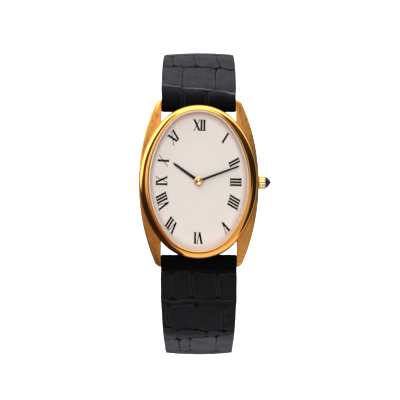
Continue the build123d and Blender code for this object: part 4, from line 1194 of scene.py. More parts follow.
@dataclass
class Crown:
    """The fluted crown and its pointed stone.

    Attributes:
        rib_count: The number of ribs.
        rib_height: The radius of a rib, which stands on the core.
        edge: The width of the rounded edges of its ends.
        collar: The width of the collar round the stone.
        girdle: The length of the stone's straight start.
        inner_gap: The gap between the crown and the case's flank.
    """

    rib_count: int = 16
    rib_height: float = 0.20 * MM
    edge: float = 0.14 * MM
    collar: float = 0.24 * MM
    girdle: float = 0.15 * MM
    inner_gap: float = 0.05 * MM

    def build(self) -> None:
        """Make and dress the crown's pieces."""
        low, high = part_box("crown")
        centre, radius = (low.z + high.z) / 2, (high.z - low.z) / 2
        core, edge, collar = radius - 2 * self.rib_height, self.edge, self.collar
        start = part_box("case_middle")[1].x + self.inner_gap
        length = high.x - start
        profile = [(start, 0.0), (start, radius - 2 * edge), (start + edge, radius - edge),
                   (start + 1.4 * edge, core), (high.x - collar - edge, core),
                   (high.x - collar, radius - edge), (high.x - collar * 0.7, radius - edge / 2),
                   (high.x - collar * 0.35, radius - edge), (high.x, radius - 3 * edge),
                   (high.x, 0.0)]
        barrel = lathe("crown_core", profile, 96, 40.0, centre)
        ribs = self.ribs({"Count": self.rib_count, "Core": radius - self.rib_height,
                          "Length": length - collar - edge / 2, "Rib": self.rib_height,
                          "Middle": start + (length - collar + edge / 2) / 2, "Centre": centre})
        for piece in (barrel, ribs):
            place_piece(piece, Finish.PALE_GOLD, "crown", ["crown"])
        self.make_stone(centre)

    @staticmethod
    def ribs(sizes: dict[str, float]) -> Piece:
        """Set rounded ribs round the crown's core by a geometry tree.

        Args:
            sizes: Their Count, the radius Core of the circle that they stand on, their Length,
                the radius Rib of each, their Middle along the stem and the stem's height Centre.

        Returns:
            The ribs as one plain mesh.
        """
        tree = bpy.data.node_groups.new("crown_ribs", "GeometryNodeTree")
        tree.interface.new_socket("Geometry", in_out="OUTPUT", socket_type="NodeSocketGeometry")
        for name, value in sizes.items():
            kind = "NodeSocketInt" if isinstance(value, int) else "NodeSocketFloat"
            tree.interface.new_socket(name, in_out="INPUT", socket_type=kind)
        nodes = {name: tree.nodes.new(kind) for name, kind in (
            ("sizes", "NodeGroupInput"), ("circle", "GeometryNodeCurvePrimitiveCircle"),
            ("points", "GeometryNodeCurveToPoints"), ("rib", "GeometryNodeMeshCylinder"),
            ("copies", "GeometryNodeInstanceOnPoints"), ("place", "ShaderNodeCombineXYZ"),
            ("turn", "GeometryNodeTransform"), ("real", "GeometryNodeRealizeInstances"),
            ("paint", "GeometryNodeSetMaterial"), ("end", "NodeGroupOutput"))}
        nodes["points"].mode = "COUNT"
        for node, socket, value in (("rib", "Vertices", 12), ("rib", "Side Segments", 2),
                                    ("turn", "Rotation", (0.0, math.pi / 2, 0.0)),
                                    ("paint", "Material", SHELF.get(Finish.PALE_GOLD))):
            nodes[node].inputs[socket].default_value = value
        for source, output, target, socket in (
                ("sizes", "Core", "circle", "Radius"), ("circle", "Curve", "points", "Curve"),
                ("sizes", "Count", "points", "Count"), ("sizes", "Rib", "rib", "Radius"),
                ("sizes", "Length", "rib", "Depth"), ("points", "Points", "copies", "Points"),
                ("rib", "Mesh", "copies", "Instance"), ("sizes", "Middle", "place", "X"),
                ("sizes", "Centre", "place", "Z"), ("copies", "Instances", "turn", "Geometry"),
                ("place", "Vector", "turn", "Translation"),
                ("turn", "Geometry", "real", "Geometry"),
                ("real", "Geometry", "paint", "Geometry"),
                ("paint", "Geometry", "end", "Geometry")):
            tree.links.new(nodes[source].outputs[output], nodes[target].inputs[socket])
        holder = new_piece("crown_flutes", [(0.0, 0.0, 0.0)], [])
        modifier = holder.modifiers.new("ribs", "NODES")
        modifier.node_group = tree
        for item in tree.interface.items_tree:
            if item.in_out == "INPUT":
                modifier[item.identifier] = sizes[item.name]
        return crisp(outwards(settled(holder)), 40.0)

    def make_stone(self, centre: float) -> None:
        """Make the pointed cabochon.

        Args:
            centre: The stem's height.
        """
        low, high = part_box("crown_cabochon")
        radius, steps = (high.z - low.z) / 2, 14
        profile = [(low.x, 0.0), (low.x, radius)]
        for step in range(steps):
            share = step / steps
            profile.append((between(low.x + self.girdle, high.x, share),
                            radius * (1 - share**1.5) ** 0.95))
        profile.append((high.x, 0.0))
        place_piece(lathe("crown_stone", profile, 64, 50.0, centre), Finish.BLUE_STONE, "crown",
                    ["crown_cabochon"])


# Strap


@dataclass(frozen=True)
class Run:
    """One stretch of a strap's route in the side view: straight, or an arc.

    Attributes:
        length: The length of a straight stretch.
        radius: The radius of an arc, or 0.
        turn: The angle of an arc, in degrees, turning back under the case.
    """

    length: float = 0.0
    radius: float = 0.0
    turn: float = 0.0

    def reach(self) -> float:
        """The stretch's length."""
        return self.radius * math.radians(self.turn) if self.radius else self.length


@dataclass
class Route:
    """A strap's route in the side view, from its spring bar to its free end.

    Attributes:
        start: Where it starts, along the case and in height.
        heading: The direction that it starts in, in degrees.
        runs: Its stretches.
    """

    start: Flat
    heading: float
    runs: tuple[Run, ...]

    def length(self) -> float:
        """The route's whole length."""
        return sum(run.reach() for run in self.runs)

    def at(self, distance: float) -> tuple[Flat, Flat]:
        """The place and the outward direction at a distance along the route.

        Args:
            distance: The distance from the start; below 0 and past the end it runs straight on.

        Returns:
            The place, and the unit vector that points out of the strap's outer face.
        """
        along, height = self.start
        heading = math.radians(self.heading)
        left = distance
        for number, run in enumerate(self.runs):
            last = number == len(self.runs) - 1
            step = left if last else min(left, run.reach())
            if run.radius:
                centre = (along + run.radius * math.sin(heading),
                          height - run.radius * math.cos(heading))
                heading -= step / run.radius
                along = centre[0] - run.radius * math.sin(heading)
                height = centre[1] + run.radius * math.cos(heading)
            else:
                along += step * math.cos(heading)
                height += step * math.sin(heading)
            left -= step
            if left <= 0:
                break
        return (along, height), (-math.sin(heading), math.cos(heading))


@dataclass(frozen=True)
class ScaleRow:
    """One row of scales across a strap.

    Attributes:
        start: Where its groove lies along the strap, in millimetres.
        tilt: How much farther along that groove lies at the strap's crown side, in millimetres.
        columns: The borders between its scales, as shares of the half width.
        fold: How strongly the leather is folded along its groove, with a painted highlight beside
            it.
        weight: The groove's width against a plain groove's.
    """

    start: float
    tilt: float
    columns: tuple[float, ...]
    fold: float = 0.12
    weight: float = 1.0


@dataclass
class Scales:
    """Large scales in uneven rows, each a flat cushion between narrow creases.

    Attributes:
        rows: The rows, from the case to the strap's end.
        depth: The depth of a crease.
        crease: The width of a crease.
        swell: How far a scale's middle rises.
        ridge: How far the leather is pushed up beside a crease.
        pad: How much thinner the padded strap is at its edges.
        corner: The radius of a scale's corners.
        bow: How far a row's groove strays in long and in short waves, in millimetres.
        lean: How far a border strays in long and in short waves, in shares of the half width.
        seed: Shifts the noise from strap to strap.
    """

    rows: tuple[ScaleRow, ...]
    depth: float = 0.17 * MM
    crease: float = 0.115 * MM
    swell: float = 0.06 * MM
    ridge: float = 0.10 * MM
    pad: float = 0.42 * MM
    corner: float = 1.3 * MM
    bow: Flat = (0.75, 0.30)
    lean: Flat = (0.07, 0.02)
    seed: float = 0.0

    def wobble(self, first: float, second: float, size: float) -> float:
        """A smooth seeded noise from -1 to 1 at two coordinates, with grains of a size."""
        return noise.noise(Vector((first / size, second / size, self.seed)))

    def relief(self, distance: float, share: float,
               half_width: float) -> tuple[float, float, float, float]:
        """The surface at a place on the strap.

        Args:
            distance: The distance along the strap.
            share: The place across, from -1 to 1.
            half_width: Half the strap's width there.

        Returns:
            The height against the plain surface, the strengths of the crease and of the ridge
            beside it, from 0 to 1, and the distance with the nearest fold laid straight.
        """
        across = share * half_width
        warped = distance + (self.bow[0] * self.wobble(across, 0.0, 4 * MM)
                             + self.bow[1] * self.wobble(across, distance, 1.6 * MM)) * MM
        gaps = [warped - (row.start + row.tilt * share) * MM for row in self.rows]
        number = max(0, sum(1 for gap in gaps if gap > 0) - 1)
        row_gap, row = min(zip(gaps, self.rows), key=lambda entry: abs(entry[0]))
        own = number * 9 * MM
        lean = (self.lean[0] * self.wobble(own, distance, 4 * MM)
                + self.lean[1] * self.wobble(distance, own, 1.3 * MM))
        column_gap = half_width * min(abs(share + lean - border)
                                      for border in self.rows[number].columns)
        strength, gap = self.groove(row, row_gap, column_gap)
        wrinkle = abs(self.wobble(0.4 * across + 5 * MM, distance, 2.4 * MM))
        strength = max(strength, 0.3 * hump(wrinkle, 0.025))
        worn = 0.75 + 0.5 * self.wobble(across + 7 * MM, distance, 3 * MM)
        strength = min(1.0, max(0.0, strength * (worn * row.weight**0.4)))
        pushed = max(0.0, 0.6 + 1.1 * self.wobble(across, distance, 5 * MM))
        # The ridge beside a crease is raised, and the same strength paints a highlight on it
        # through the sheen attribute.
        beside = max(hump(row_gap / self.crease / 1.3 - 1.6) * pushed * row.fold,
                     0.06 * hump(column_gap / self.crease - 2.4))
        fine = (0.015 * self.wobble(across, distance + 0.1, 0.9 * MM)
                + 0.05 * self.wobble(across, distance, 2.6 * MM)) * MM
        pad = self.pad * share**2 * smooth_step((distance - 6 * MM) / (8 * MM))
        lift = self.swell * (1 - math.exp(-gap / MM)) + self.ridge * min(1.0, beside) - pad
        straight = row_gap + row.start * MM
        bend = between(distance, straight, hump(row_gap, 2 * MM * row.fold))
        return lift - self.depth * strength + fine, strength, beside, bend

    def groove(self, row: ScaleRow, row_gap: float, column_gap: float) -> Flat:
        """The creases round a place.

        Args:
            row: The row whose groove is nearest.
            row_gap: The distance past that groove.
            column_gap: The distance to the nearest border between two scales.

        Returns:
            The creases' strength, and the distance to the scale's edge with its round corners.
        """
        gap = min(abs(row_gap), column_gap)
        if max(abs(row_gap), column_gap) < self.corner:
            gap = max(0.0, self.corner - math.hypot(self.corner - abs(row_gap),
                                                    self.corner - column_gap))
        return max(hump(gap, self.crease), hump(row_gap / self.crease, row.weight)), gap


@dataclass
class Band:
    """One leather layer of a strap half, as a closed mesh along its route.

    Attributes:
        name: The piece's name.
        route: The strap half's route.
        end_sign: 1 at 12 o'clock and -1 at 6 o'clock.
        inner: The inner face's distance outside the route.
        outer: The outer face's distance outside the route.
        widths: Half widths at distances along the route.
        scales: The scales of the outer face, if it has any.
        grey_and_sheen_stops: How much greying and painted sheen the leather has at distances along
            the route.
        roll_start: The angle of leather round the spring bar, in degrees, or 0.
        roll_end: The angle of leather round the buckle's bar, in degrees, or 0.
        roll_radius: The outer radius of a roll.
        bar_radius: The inner radius of a roll.
        skip: Where the layer starts along the route, without a roll.
        stop: How far before the route's end it stops, without a roll.
        slot: Half the width of the tongue's slot, and its length from the end, or None.
        holes: Distances of the buckle holes along the route.
        hole_radius: A buckle hole's radius.
        edge_round: The radius of the outer face's edges.
        cell: The size of the mesh's cells.
    """

    name: str
    route: Route
    end_sign: int
    inner: float
    outer: float
    widths: tuple[Flat, ...]
    scales: Optional[Scales] = None
    grey_and_sheen_stops: tuple[Flat, ...] = ((0.0, 0.0),)
    roll_start: float = 0.0
    roll_end: float = 0.0
    roll_radius: float = 1.12 * MM
    bar_radius: float = 0.82 * MM
    skip: float = 0.0
    stop: float = 0.0
    slot: Optional[Flat] = None
    holes: tuple[float, ...] = ()
    hole_radius: float = 0.9 * MM
    edge_round: float = 0.45 * MM
    cell: float = 0.24 * MM

    @staticmethod
    def along(stops: Sequence[Flat], distance: float) -> float:
        """A value that is given by stops, at a distance along the route.

        Args:
            stops: Distances and values.
            distance: The distance.

        Returns:
            The value between the stops beside it.
        """
        before = stops[0]
        for after in stops:
            if distance <= after[0]:
                if after[0] <= before[0]:
                    return after[1]
                share = (distance - before[0]) / (after[0] - before[0])
                return between(before[1], after[1], max(0.0, share))
            before = after
        return before[1]

    def half_width(self, distance: float) -> float:
        """Half the layer's width at a distance along the route.

        Args:
            distance: The distance.

        Returns:
            The half width, with an uneven edge where the layer has scales.
        """
        width = self.along(self.widths, distance)
        if not self.scales:
            return width
        free = smooth_step((distance - 2.5 * MM) / (2.5 * MM))
        return width + 0.06 * MM * free * self.scales.wobble(distance, 0.03, 2.2 * MM)

    def pair(self, distance: float) -> tuple[Flat, Flat, Flat]:
        """The outer place, the inner place and the outward direction at a distance.

        Args:
            distance: The distance along the route; rolls lie below 0 and past the end.

        Returns:
            The outer place, the inner place and the outward direction, in the side view.
        """
        length = self.route.length()
        if self.roll_start and distance < 0:
            return self.rolled(self.route.at(0.0), distance / self.roll_radius)
        if self.roll_end and distance > length:
            return self.rolled(self.route.at(length), (distance - length) / self.roll_radius)
        inner, outer = self.inner, self.outer
        if self.roll_start:
            inner = between(self.bar_radius, inner, smooth_step(distance / (1.2 * MM)))
            outer = between(self.roll_radius, outer, smooth_step(distance / (4 * MM)))
        if self.roll_end:
            left = length - distance
            near_end = between(self.bar_radius, self.inner, smooth_step(left / (1.2 * MM)))
            inner = max(inner, near_end)
            outer = between(self.roll_radius, outer, smooth_step(left / (4 * MM)))
        return self.faces_at(self.route.at(distance), outer, inner)

    @staticmethod
    def faces_at(place: tuple[Flat, Flat], outer: float, inner: float) -> tuple[Flat, Flat, Flat]:
        """The outer and the inner place at their distances from a place, and its direction."""
        (along, height), (out_y, out_z) = place
        return ((along + outer * out_y, height + outer * out_z),
                (along + inner * out_y, height + inner * out_z), (out_y, out_z))

    def rolled(self, bar: tuple[Flat, Flat], angle: float) -> tuple[Flat, Flat, Flat]:
        """The places on a roll round a bar.

        Args:
            bar: The bar's centre and the outward direction where the roll starts.
            angle: The angle round the bar, in radians, below 0 towards the case.

        Returns:
            The outer place, the inner place and the outward direction.
        """
        centre, (out_y, out_z) = bar
        sine, cosine = math.sin(-angle), math.cos(-angle)
        direction = (out_y * cosine - out_z * sine, out_y * sine + out_z * cosine)
        return self.faces_at((centre, direction), self.roll_radius, self.bar_radius)

    def stations(self) -> list[float]:
        """The distances along the route where the mesh has a row of points.

        Returns:
            The distances, from the first to the last.
        """
        length = self.route.length()
        low = -math.radians(self.roll_start) * self.roll_radius if self.roll_start else self.skip
        high = length + math.radians(self.roll_end) * self.roll_radius if self.roll_end else (
            length - self.stop)
        count = max(2, round((high - low) / self.cell))
        return [between(low, high, number / count) for number in range(count + 1)]

    def open_cell(self, distance: float, across: float) -> bool:
        """Whether a cell lies in the tongue's slot or in a buckle hole.

        Args:
            distance: The cell's distance along the route.
            across: The cell's place across.

        Returns:
            True where the leather is cut away.
        """
        if self.slot and abs(across) < self.slot[0] and distance > (
                self.route.length() - self.slot[1]):
            return True
        return any(math.hypot(distance - hole, across) < self.hole_radius for hole in self.holes)

    def build(self) -> Piece:
        """Make the layer: an outer sheet, an inner sheet and walls between them.

        Returns:
            The layer.
        """
        rows = self.stations()
        columns = max(8, round(2 * max(width for _, width in self.widths) / self.cell))
        outer, inner, crease_shade_values, grey_and_sheen_values = [], [], [], []
        for distance in rows:
            half = self.half_width(distance)
            out_place, in_place, direction = self.pair(distance)
            thickness = math.hypot(out_place[0] - in_place[0], out_place[1] - in_place[1])
            for column in range(columns + 1):
                share = 2 * column / columns - 1
                across = share * half
                lift, groove, ridge, bend = (self.scales.relief(distance, share, half)
                                             if self.scales else (0.0, 0.0, 0.0, distance))
                border = half - abs(across)
                past = max(0.0, self.edge_round - border)
                drop = self.edge_round - math.sqrt(max(0.0, self.edge_round**2 - past**2))
                lift = max(-0.7 * thickness, (lift if border > 0 else 0.0) - drop * 0.8)
                outer.append((across, self.end_sign * (out_place[0] + lift * direction[0]),
                              out_place[1] + lift * direction[1]))
                inner.append((across, self.end_sign * in_place[0], in_place[1]))
                # The crease strength paints shade into the creases; the sheen stops and the ridge
                # strength paint a sheen and highlights, with some greying.
                crease_shade_values.append(groove)
                grey_and_sheen_values.append(0.4 * self.along(self.grey_and_sheen_stops, bend) + ridge)
        piece = new_piece(self.name, outer + inner, self.walls(rows, columns, len(outer)))
        self.round_holes(piece, rows, columns)
        for kind, values in (("groove", crease_shade_values), ("grey_and_sheen", grey_and_sheen_values)):
            attribute = piece.data.attributes.new(kind, "FLOAT", "POINT")
            attribute.data.foreach_set("value", values + [0.0] * len(inner))
        return crisp(outwards(piece, merge=False), 55.0)

    def walls(self, rows: Sequence[float], columns: int, offset: int) -> list[tuple[int, ...]]:
        """The faces of both sheets and of the walls where the leather ends or is cut away.

        Args:
            rows: The distances of the mesh's rows.
            columns: The number of cells across.
            offset: The number of the inner sheet's first point.

        Returns:
            The faces.
        """
        wide = columns + 1
        cells = [(r, c) for r in range(len(rows) - 1) for c in range(columns)]
        solid = {(r, c) for r, c in cells if not self.open_cell(
            (rows[r] + rows[r + 1]) / 2, ((2 * c + 1) / columns - 1) * self.half_width(rows[r]))}
        faces = []
        for r, c in cells:
            if (r, c) not in solid:
                continue
            a, b = r * wide + c, r * wide + c + 1
            d, e = a + wide, b + wide
            faces.append((a, b, e, d))
            faces.append((offset + a, offset + d, offset + e, offset + b))
            for there, first, last in (((r - 1, c), a, b), ((r, c + 1), b, e),
                                       ((r + 1, c), e, d), ((r, c - 1), d, a)):
                if there not in solid:
                    faces.append((last, first, offset + first, offset + last))
        return faces

    def round_holes(self, piece: Piece, rows: Sequence[float], columns: int) -> None:
        """Move the points round each buckle hole onto its circle.

        Args:
            piece: The layer's mesh object.
            rows: The distances of the mesh's rows.
            columns: The number of cells across.
        """
        wide = columns + 1
        count = len(rows) * wide
        for number in range(count if self.holes else 0):
            distance = rows[number // wide]
            across = (2 * (number % wide) / columns - 1) * self.half_width(distance)
            for hole in self.holes:
                reach = math.hypot(distance - hole, across)
                if abs(reach - self.hole_radius) < 0.75 * self.cell and reach > 0:
                    scale = self.hole_radius / reach
                    out_place, in_place, _ = self.pair(hole + (distance - hole) * scale)
                    for vertex, place in ((number, out_place), (number + count, in_place)):
                        piece.data.vertices[vertex].co = (across * scale,
                                                          self.end_sign * place[0], place[1])


def in_metres(stops: Sequence[Flat]) -> tuple[Flat, ...]:
    """Turn stops at distances in millimetres into stops at distances in metres."""
    return tuple((distance * MM, value) for distance, value in stops)


@dataclass
class Strap:
    """Both strap halves with their linings, keepers and buckle.

    Attributes:
        bar: Where the spring bars lie, along the case and in height.
        lead: The length of a strap's straight start.
        lead_drop: The slope of that start, in degrees.
        end_half: Half the strap's width at its end.
        end_start: Where a half reaches that width, along its route.
        nose: The length of the long half's pointed end.
        outer_thickness: The outer layer's thickness.
        lining_thickness: The lining's thickness.
        lining_inset: How much narrower the lining is at either side.
        roll: The angle of leather round a bar, in degrees.
        slot: Half the width of the tongue's slot, and its length.
        hole_start: The distance from the long half's end to its nearest buckle hole.
        hole_pitch: The distance from hole to hole.
        short_widths: Distances and half widths of the short half, in millimetres.
        long_widths: Distances and half widths of the long half, in millimetres.
        short_grey_and_sheen: How much greying and painted sheen the short half has, by distances in
            millimetres.
        long_grey_and_sheen: How much greying and painted sheen the long half has, by distances in
            millimetres.
        short_rows: The short half's rows of scales nearest the case.
        long_rows: The long half's rows of scales nearest the case.
    """

    bar: Flat = (18.4 * MM, 1.6 * MM)
    lead: float = 3.0 * MM
    lead_drop: float = 12.0
    end_half: float = 8.0 * MM
    end_start: float = 55.0 * MM
    nose: float = 7.0 * MM
    outer_thickness: float = 1.15 * MM
    lining_thickness: float = 0.85 * MM
    lining_inset: float = 0.15 * MM
    roll: float = 235.0
    slot: Flat = (1.1 * MM, 3.3 * MM)
    hole_start: float = 14.0 * MM
    hole_pitch: float = 6.0 * MM
    short_widths: tuple[Flat, ...] = ((0.0, 8.96), (2.5, 8.96), (5.0, 9.06), (10.0, 9.0),
                                      (18.0, 8.74), (30.0, 8.45))
    long_widths: tuple[Flat, ...] = ((0.0, 8.96), (2.5, 8.96), (5.0, 9.04), (10.0, 9.0),
                                     (18.0, 8.70), (26.0, 8.36), (40.0, 8.1))
    # The painted sheen, with some greying, is strongest at the bends.
    short_grey_and_sheen: tuple[Flat, ...] = ((1.0, 0.0), (2.8, 0.07), (4.0, 0.25), (5.6, 0.54),
                                      (12.0, 0.52), (17.0, 0.50), (22.0, 0.34), (60.0, 0.2))
    long_grey_and_sheen: tuple[Flat, ...] = ((2.0, 0.0), (4.0, 0.09), (10.0, 0.11), (17.0, 0.15),
                                     (19.5, 0.30), (21.5, 0.95), (27.0, 1.0), (34.0, 0.5),
                                     (60.0, 0.2))
    short_rows: tuple[ScaleRow, ...] = (
        ScaleRow(-4.0, 0.0, (-0.42, 0.22)), ScaleRow(4.2, -1.2, (-0.41, 0.47), 1.0),
        ScaleRow(11.2, -0.9, (-0.70, -0.09, 0.55), 0.1, 2.0), ScaleRow(17.8, 0.2, (-0.36, 0.33)))
    long_rows: tuple[ScaleRow, ...] = (
        ScaleRow(-4.0, 0.0, (-1.5, 1.5)), ScaleRow(2.7, 0.2, (-0.69, -0.16, 0.51)),
        ScaleRow(9.2, 0.0, (-1.5, 1.5)), ScaleRow(10.6, 0.2, (-0.84, -0.10, 0.66)),
        ScaleRow(18.1, 0.7, (-0.6, 0.2), 0.2, 2.2),
        ScaleRow(20.8, -1.3, (-0.55, -0.25, 0.51), 0.2, 1.6), ScaleRow(28.6, 0.4, (-0.33, 0.36)))

    def route(self, *runs: Run) -> Route:
        """The route of a strap half that goes on from its straight start by these stretches."""
        return Route(self.bar, -self.lead_drop, (Run(self.lead), *runs))

    def taper(self, stops: Sequence[Flat], length: float, nose: float = 0.0) -> tuple[Flat, ...]:
        """Half widths along a strap half.

        Args:
            stops: Distances and half widths of the visible stretch, in millimetres.
            length: The half's length.
            nose: The length of its pointed end, or 0.

        Returns:
            Distances and half widths.
        """
        widths = [(distance, half * MM) for distance, half in in_metres(stops)]
        widths += [(self.end_start, self.end_half), (length - nose, self.end_half)]
        steps, tip_half = 24, 0.25 * MM
        for step in range(1, steps + 1 if nose else 0):
            share = step / steps
            width = self.end_half * math.sqrt(max(0.0, 1 - share**2.2)) ** 0.92
            widths.append((length - nose + nose * share, max(width, tip_half)))
        return tuple(widths)

    @staticmethod
    def scale_rows(seen: tuple[ScaleRow, ...], length: float) -> tuple[ScaleRow, ...]:
        """Carry the rows of scales on to a strap half's end.

        Args:
            seen: The rows nearest the case.
            length: The half's length.

        Returns:
            All the rows.
        """
        rows = list(seen)
        pitch, uneven, tilt = 6.2, 0.5, 0.5
        while rows[-1].start * MM < length:
            number = len(rows)
            columns = ((-0.34, 0.30), (-0.42, 0.24), (-0.28, 0.38))[number % 3]
            rows.append(ScaleRow(rows[-1].start + pitch + uneven * (number % 3),
                                 tilt * (-1) ** number, columns))
        return tuple(rows)

    def build(self) -> None:
        """Make and dress the strap's pieces."""
        short = self.route(Run(0.0, 16.6 * MM, 60.0), Run(0.0, 60.0 * MM, 17.0), Run(34.0 * MM))
        long = self.route(Run(0.0, 22.6 * MM, 78.0), Run(0.0, 70.0 * MM, 18.0), Run(62.0 * MM))
        holes = tuple(long.length() - self.hole_start - self.hole_pitch * number
                      for number in range(5))
        self.make_layers("strap_short", Band(
            "strap_short_scaled", short, 1, 0.0, self.outer_thickness,
            self.taper(self.short_widths, short.length()),
            Scales(self.scale_rows(self.short_rows, short.length()), seed=2.3),
            in_metres(self.short_grey_and_sheen), self.roll, self.roll, slot=self.slot, cell=0.18 * MM))
        self.make_layers("strap_long", Band(
            "strap_long_scaled", long, -1, 0.0, self.outer_thickness,
            self.taper(self.long_widths, long.length(), self.nose),
            Scales(self.scale_rows(self.long_rows, long.length()), seed=7.9),
            in_metres(self.long_grey_and_sheen), self.roll, holes=holes, cell=0.215 * MM))
        for node, body in (("keeper_fixed", "strap_short"), ("keeper_free", "keeper_free")):
            loop = rounded_copy(node + "_loop", node, 0.28 * MM, segments=4)
            place_piece(loop, Finish.STRAP, body, [node])
        for node, body, width in (("buckle_frame", "buckle", 0.3 * MM),
                                  ("buckle_bar", "buckle", 0.05 * MM),
                                  ("buckle_tongue", "tongue", 0.2 * MM)):
            made = rounded_copy(node + "_polished", node, width)
            place_piece(made, Finish.POLISHED_GOLD, body, [node])
        for node in ("spring_bar_12", "spring_bar_6"):
            SHELF.dress_node(node, Finish.STEEL)

    def make_layers(self, body: str, scaled: Band) -> None:
        """Make and dress a strap half's scaled layer and its smooth lining.

        Args:
            body: The half's body.
            scaled: The scaled layer.
        """
        inset = tuple((at, half - self.lining_inset) for at, half in scaled.widths)
        gap, bar_gap = 0.02 * MM, 1.4 * MM
        lining = Band(body + "_smooth", scaled.route, scaled.end_sign, -self.lining_thickness,
                      -gap, inset, skip=bar_gap, stop=bar_gap if scaled.roll_end else 0.0,
                      slot=scaled.slot, holes=scaled.holes)
        place_piece(scaled.build(), Finish.STRAP, body, [body + "_outer"])
        place_piece(lining.build(), Finish.LINING, body, [body + "_lining"])


# Movement


@dataclass
class Movement:
    """The hand-wound movement, whose nodes keep their meshes and get their finishes.

    Attributes:
        finishes: The nodes of each finish.
    """

    finishes: dict[Finish, tuple[str, ...]] = field(default_factory=lambda: {
        Finish.NICKEL: ("main_plate", "barrel_bridge", "train_bridge", "balance_cock",
                        "pallet_bridge", "movement_ring", "barrel_cover"),
        Finish.BRASS: ("barrel", "centre_wheel", "third_wheel", "fourth_wheel", "balance_wheel",
                       "minute_wheel", "hour_wheel", "setting_wheel"),
        Finish.STEEL: ("escape_wheel", "pallet_fork", "cannon_pinion", "crown_wheel",
                       "ratchet_wheel", "barrel_arbor", "click", "setting_lever", "yoke",
                       "winding_pinion", "sliding_pinion", "winding_stem", "mainspring"),
        Finish.BLUED_STEEL: ("hairspring", "bridge_screws"),
        Finish.RUBY: ("jewels",)})

    def build(self) -> None:
        """Dress every node of the movement."""
        for finish, nodes in self.finishes.items():
            for node in nodes:
                SHELF.dress_node(node, finish)
            LOG.info("movement: %d nodes in %s", len(nodes), finish.name.lower())


# Studio


@dataclass(frozen=True)
class Ease:
    """A value that eases to another one as a ray turns towards a direction.

    Attributes:
        direction: The direction.
        start: How far a ray points that way, from -1 to 1, where the value starts to change.
        end: How far it points that way where the value has changed.
        low: The value up to the start.
        high: The value from the end on.
    """

    direction: Point
    start: float
    end: float
    low: float = 0.0
    high: float = 1.0

    @classmethod
    def spot(cls, direction: Point, outer: float, inner: float, low: float = 0.0,
             high: float = 1.0) -> "Ease":
        """A round spot with an outer and an inner radius, in degrees as the watch sees it."""
        return cls(direction, math.cos(math.radians(outer)), math.cos(math.radians(inner)), low,
                   high)


class Sky(Bench):
    """A world's tree, with values that depend on where a ray points."""

    def eased(self, ease: Ease) -> Socket:
        """Add a value that eases towards a direction.

        Args:
            ease: The direction and the values.

        Returns:
            The value.
        """
        facing = self.add("VectorMath", {0: self.add("TexCoord").outputs["Generated"],
                                         1: Vector(ease.direction).normalized()},
                          operation="DOT_PRODUCT").outputs["Value"]
        return self.range(facing, ease.low, ease.high, ease.start, ease.end, "SMOOTHSTEP")

    def maths(self, operation: str, *values: Socket) -> Socket:
        """Join values by an operation, from the first to the last.

        Args:
            operation: The operation.
            values: The values.

        Returns:
            The result.
        """
        result = values[0]
        for value in values[1:]:
            result = self.add("Math", {0: result, 1: value}, operation=operation).outputs["Value"]
        return result


UP: Point = (0.0, 0.0, 1.0)


